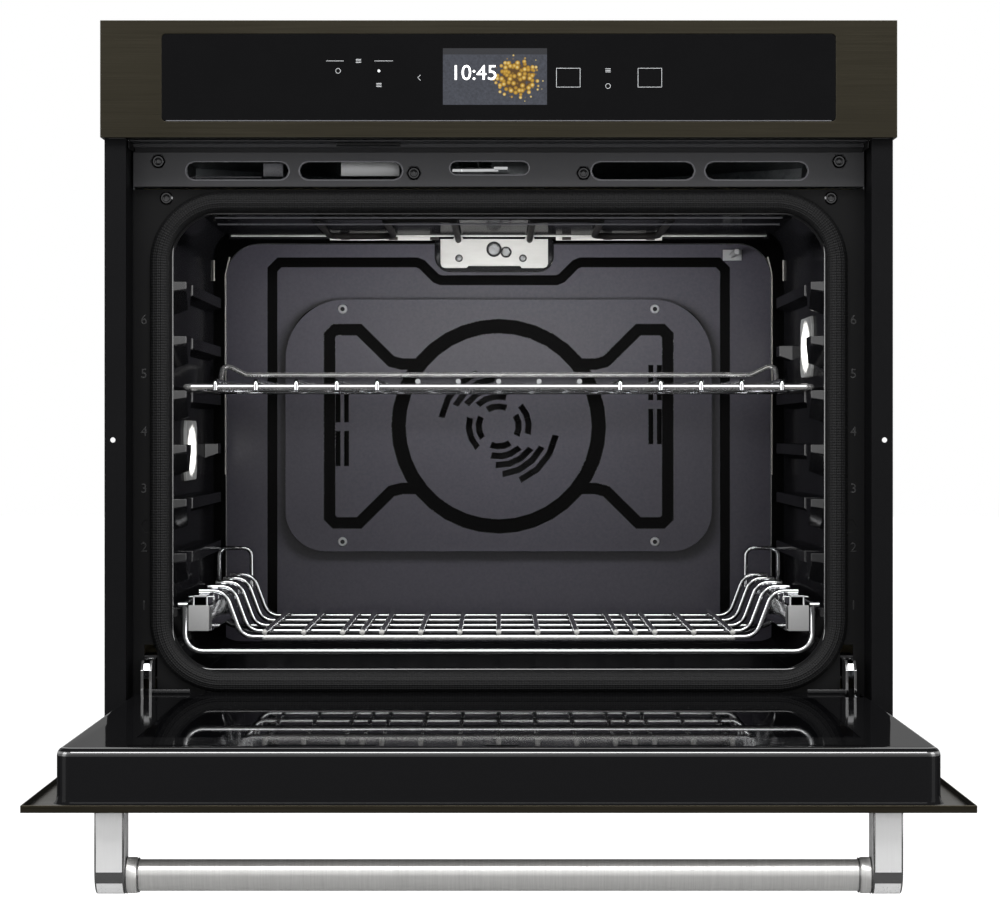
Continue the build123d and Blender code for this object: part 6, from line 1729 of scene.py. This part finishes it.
@dataclass
class RollOutRack:
    """Roll-out rack: fixed frame, telescopic slides and the dropped shelf.

    Attributes:
        rod: Radius of the frame's rods.
        wire: Radius of the shelf's wires.
        side_x: How far the frame's rods stand from the middle.
        ends: Y of the front and the rear U rod.
        pin_z: Height of the pins and side rods.
        low_z: Height of the U rods' lowest run.
        shelf_top: Height of the shelf's shoulders.
        shelf_low: Height of its dropped cross wires.
        cross_front: Y of the foremost cross wire.
        cross_pitch: Spacing of the cross wires.
        long_pitch: Spacing of the long wires.
    """

    rod: float = 3.0
    wire: float = 2.6
    side_x: float = 307.0
    ends: Flat = (38.2, 464.0)
    pin_z: float = 160.6
    low_z: float = 115.0
    shelf_top: float = 172.0
    shelf_low: float = 127.0
    cross_front: float = 77.0
    cross_pitch: float = 93.75
    long_pitch: float = 38.5

    def build(self) -> None:
        """Make the frame and the shelf, and dress the slides."""
        dress("outer_slides mid_slides", CHROME, 0.3)
        self.fixed_frame()
        self.shelf()

    def fixed_frame(self) -> None:
        """Bend the two U rods and the rear arches and lay the pins and side rods."""
        x, high, low = self.side_x, self.pin_z, self.low_z
        us = [[(-x, y, high), (-x, y, low), (x, y, low), (x, y, high)] for y in self.ends]
        straight = [
            [(side * (x - 3), y, high), (side * (x + 6), y, high)] for y in self.ends for side in (-1, 1)
        ]
        straight += [[(side * x, y, high) for y in self.ends] for side in (-1, 1)]
        arches = []
        for side in (-1, 1):
            out, near = side * (x + 3), side * (x - 33)
            arches.append(at_depth([(out, 163.0), (out, 201.0), (near, 201.0), (near, 150.0)], 470.0))
        parts = [
            WIRE.sweep(us, self.rod, 18, CHROME, 16),
            WIRE.sweep(straight, self.rod, 0, CHROME, 16),
            WIRE.sweep(arches, 2.4, 9, CHROME, 12),
        ]
        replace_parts(placed("chrome_rack_frame", joined(parts)), "rack_frame")

    def shelf(self) -> None:
        """Bend the shelf's cross wires, lay the long ones and fold the rails."""
        bends = [(296, self.shelf_top), (271, self.shelf_top), (254, self.shelf_low)]
        depths = [self.cross_front + step * self.cross_pitch for step in range(5)]
        crosses = [mirrored(at_depth(bends, y)) for y in depths]
        parts = [WIRE.sweep(crosses, self.wire, 16, CHROME, 12)]
        high = self.shelf_low + 2 * self.wire
        steps = (0, 1, 2, 3, 3.5, 4, 5, 6)
        places = sorted({side * step * self.long_pitch for step in steps for side in (-1, 1)})
        long = [[(x, 69.0, high), (x, 460.0, high)] for x in places]
        parts.append(WIRE.sweep(long, self.wire, 0, CHROME, 12))
        # The wire ends' pale, half-matt finish makes bright dots: painted highlight.
        tip = turned([(0.0, -1.6), (1.5, -1.3), (2.4, -0.4), (2.7, 0.4)], 16)
        parts.append(COPIES.repeat(tip, [(x, 68.8, high) for x in places], HUB_PLATE))
        rail = [(x, 72.2, self.shelf_low - 0.4) for x in (-233.0, 233.0)]
        # The front rail takes the brightened chrome: painted light.
        parts.append(WIRE.sweep([rail], self.wire + 0.6, 0, BRIGHTENED_CHROME, 16))
        outer = size("outer_slides")[1].x
        for side in (-1, 1):
            parts += self.rail(side, outer)
        shelf = placed("chrome_roll_out_shelf", joined(parts), None, "sliding_shelf")
        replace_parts(shelf, "sliding_shelf")

    def rail(self, side: int, outer: float) -> list[Mesh]:
        """Meshes of one inner slide member with its end cap.

        Args:
            side: Minus one for left, one for right.
            outer: X of the outer slide's outer face.

        Returns:
            The member's walls, its top and its cap.
        """
        near, far = outer - 22.5 + 4, outer - 4
        low, top = 139.0, 169.4
        spans = [
            ((near, 42.5, low), (near + 1.5, 456.5, top), CHROME),
            ((far - 1.5, 42.5, low), (far, 456.5, top), CHROME),
            ((near, 42.5, top - 1.5), (far, 456.5, top), CHROME),
            ((outer - 20.0, 38.2, 135.0), (outer, 42.2, 160.0), SATIN_CAP),
            ((near, 41.0, low), (far, 42.6, 160.0), CHROME),
            ((outer - 25.0, 43.4, 161.5), (outer - 23.4, 54.0, 168.6), CHROME),
            ((outer - 25.0, 43.4, 167.4), (outer, 54.0, 168.8), CHROME),
        ]
        return [sided(side, start, end, 0.4, finish) for start, end, finish in spans]


# ---- Door


@dataclass
class Door:
    """Door with its liner, glass, handle and hinges.

    Attributes:
        foot: Radius of a handle bracket's rounded foot.
        bend: Radius of the pan's bent edge.
        sheet: Thickness of the pan's sheet.
        slots: X, Y, length and height of each slot in the pan.
        strips: X of the left end of each hinge strip.
    """

    foot: float = 19.6
    bend: float = 7.0
    sheet: float = 1.2
    slots: tuple[Four, ...] = (
        (-253.85, -529.3, 90.3, 10.0),
        (-143.55, -529.3, 90.3, 10.0),
        (140.15, -529.3, 90.3, 10.0),
        (250.45, -529.3, 90.3, 10.0),
        (2.5, -532.0, 29.0, 12.0),
    )
    strips: Flat = (-338.0, 298.0)

    def build(self) -> None:
        """Dress the door's nodes and make its own pieces."""
        dress("door_skin", DOOR_STAINLESS, 0.5)
        self.liner()
        dress("door_window door_middle_glass", GLASS, 0)
        dress("door_inner_glass", DOOR_GLASS, 0.4)
        dress("door_glass_frame", ZINC, 0.3)
        dress("handle_bar", BRUSHED_TUBE, 0.5)
        dress("hinge_arm_left hinge_arm_right", CHROME_CAST, 0.5)
        dress("hinge_channels", ZINC, 0.2)
        dress("hinge_receivers", MOTOR, 0.2)
        for side in ("left", "right"):
            self.bracket(side)
        self.collar_rings()
        self.hinge_strips()

    def collar_rings(self) -> None:
        """Line the joints at both ends of each collar on the bar with dark rings of painted shade."""
        low, high = size("handle_bar")
        middle, radius = (low + high) / 2, (high.z - low.z) / 2
        rings = []
        for inset, sunk in ((0.6, 0.1), (10.2, 0.9)):
            ring = ring_points((middle.y, middle.z), radius - sunk, 32)
            rings += [[(x, y, z) for y, z in ring] for x in (low.x + inset, high.x - inset)]
        placed("handle_collar_rings", WIRE.sweep(rings, 0.55, 0.0, SHADED_CASTING, 8, True), SHADED_CASTING, "door")

    def bracket(self, side: str) -> None:
        """Cast a handle bracket with a rounded foot, painted shade on its edges and foot band, and hide the
        plain one.

        Args:
            side: Left or right.
        """
        low, high = size(f"handle_bracket_{side}")
        arc, toe = quarter(16), 3
        outline = [(low.y, high.z)]
        outline += [(low.y + self.foot * cosine, low.z + self.foot * sine) for cosine, sine in arc]
        outline += [(high.y - toe * sine, low.z + toe * cosine) for cosine, sine in arc[::2]]
        outline.append((high.y, high.z))
        mesh = extruded(outline, low.x, high.x)
        swap_x_and_y = Matrix(((0, 1, 0, 0), (1, 0, 0, 0), (0, 0, 1, 0), (0, 0, 0, 1)))
        mesh.transform(swap_x_and_y)
        made = bmesh.new()
        made.from_mesh(mesh)
        bmesh.ops.recalc_face_normals(made, faces=made.faces)
        # Painted shade: the rounded edges and the foot's band that faces a little downward take the darker
        # casting.
        sharp = [edge for edge in made.edges if edge.calc_face_angle(0.0) > math.radians(40)]
        rounded(made, sharp, 1.5, 1)
        for face in made.faces:
            tilt = math.degrees(math.atan2(-face.normal.z, -face.normal.y))
            if abs(face.normal.x) < 0.3 and 1 < tilt < 27:
                face.material_index = 1
        made.to_mesh(mesh)
        made.free()
        for finish in (HANDLE_CAST, SHADED_CASTING):
            mesh.materials.append(finish.material())
        piece = placed(f"cast_handle_bracket_{side}", shaded(mesh, 35), None, "door")
        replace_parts(piece, f"handle_bracket_{side}")

    def hinge_strips(self) -> None:
        """Lay the flat strips that stiffen the pan beside its hinges."""
        top = size("door_liner")[1].z
        strips = [block((left, -3.0, top), (left + 40.0, 5.0, top + 3.4), 0.4) for left in self.strips]
        placed("hinge_strips", joined(strips), PALE_ENAMEL_HIGHLIGHT, "door")

    def liner(self) -> None:
        """Draw the enamelled inner pan with bent edges, cut its holes and hide the plain one."""
        low, high = size("door_liner")
        pan = linked("pan", self.pan(low, high))
        holes = linked("holes", joined(self.liner_holes(high.z)))
        cut = pan.modifiers.new("holes", "BOOLEAN")
        cut.object = holes
        cut.operation = "DIFFERENCE"
        cut.solver = "EXACT"
        mesh = evaluated(pan)
        bpy.data.objects.remove(holes)
        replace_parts(placed("enamelled_door_pan", shaded(mesh, 35), None, "door"), "door_liner")

    def pan(self, low: Vector, high: Vector) -> Mesh:
        """Sheet pan, open below, whose rim bends into its top.

        Args:
            low: Lowest corner of the pan in millimetres.
            high: Highest corner.

        Returns:
            A closed mesh in metres, with bands of the bend in its second and third material: a grey band and
            two bright lines, as painted highlights.
        """
        bend, sheet, arc = self.bend, self.sheet, quarter(6)
        flare = [(-2.8, 32.1), (-1.6, 33.0), (-0.6, 35.0), (0.0, 39.0)]
        outer = flare + [(bend * cosine, high.z - bend * sine) for cosine, sine in arc]
        inner = [(inset + sheet, z) for inset, z in flare]
        small = bend - sheet
        inner += [(sheet + small * cosine, high.z - sheet - small * sine) for cosine, sine in arc]
        made = bmesh.new()
        middle, half = (low.y + high.y) / 2, (high.y - low.y) / 2
        rings = []
        for inset, z in outer + inner[::-1]:
            rear = middle + half - max(inset, 0.0)
            corner = 14.0 - min(inset, 8.0)
            plan = rounded_points(high.x - inset, middle - half + inset, rear, corner, 6)
            rings.append([made.verts.new((x * MM, y * MM, z * MM)) for x, y in plan])
        foot, lip = len(flare), len(outer) - 1
        # Set bands of the bend take the sheen and gloss enamels so that they draw fixed highlight lines:
        # painted highlight.
        bands = {foot: 1, foot + 1: 2, foot + 4: 2}
        for number, (near, far) in enumerate(zip(rings, rings[1:])):
            if number == lip:
                made.faces.new(near)
                made.faces.new(far[::-1])
            else:
                band(made, near, far, bands.get(number, 0))
        band(made, rings[-1], rings[0])
        bmesh.ops.recalc_face_normals(made, faces=made.faces)
        mesh = written(made, "pan")
        for finish in (DOOR_ENAMEL, SHEEN_BAND_ENAMEL, GLOSS_LIP):
            mesh.materials.append(finish.material())
        return mesh

    def liner_holes(self, top: float) -> list[Mesh]:
        """Prisms for the glass, the air slots, the latch's slot and the hinge notches.

        Args:
            top: Height of the pan's top in millimetres.

        Returns:
            The prisms' meshes.
        """
        low, high = size("door_inner_glass")
        gap, past = 0.3, 4
        near, far = (low.x - gap, low.y - gap, top - past), (high.x + gap, high.y + gap, top + past)
        holes = [block(near, far, 0.0)]
        low, high = size("hinge_arm_right")
        for side in (-1, 1):
            holes.append(sided(side, (low.x - 2.0, -55.0, top - 60), (high.x + 2.0, 30.0, top + past), 0.0))
        lay_flat = Matrix(((1, 0, 0, 0), (0, 0, 1, 0), (0, -1, 0, 0), (0, 0, 0, 1)))
        for x, y, length, height in self.slots:
            mesh = extruded(slot_points((x, y), length, height, 8), -top - past, -top + past)
            mesh.transform(lay_flat)
            holes.append(mesh)
        return holes


@dataclass
class OuterCase:
    """Zinc-coated case, insulation, blower and supply box.

    Attributes:
        sheets: Nodes bent from zinc-coated sheet.
    """

    sheets: str = "base_pan side_panel_left side_panel_right top_panel rear_panel blower_housing"

    def build(self) -> None:
        """Dress the case's nodes."""
        dress(self.sheets, ZINC, 0.2)
        dress("terminal_box", ZINC, 0.4)
        dress("insulation_blanket", WOOL, 0)
        dress("blower_wheel", BRIGHT_SHEET, 0)
        dress("blower_motor", MOTOR, 0.6)


def main() -> None:
    """Build the studio and every sub-assembly in order."""
    logging.basicConfig(level=logging.INFO, format="%(name)s: %(message)s")
    for maker in (
        Studio(),
        OuterCase(),
        ControlPanel(),
        VentStrip(),
        MouthFrame(),
        Cavity(),
        FlatRack(),
        RollOutRack(),
        Door(),
    ):
        maker.build()
        LOG.info("%s built", type(maker).__name__)


if __name__ == "__main__":
    main()
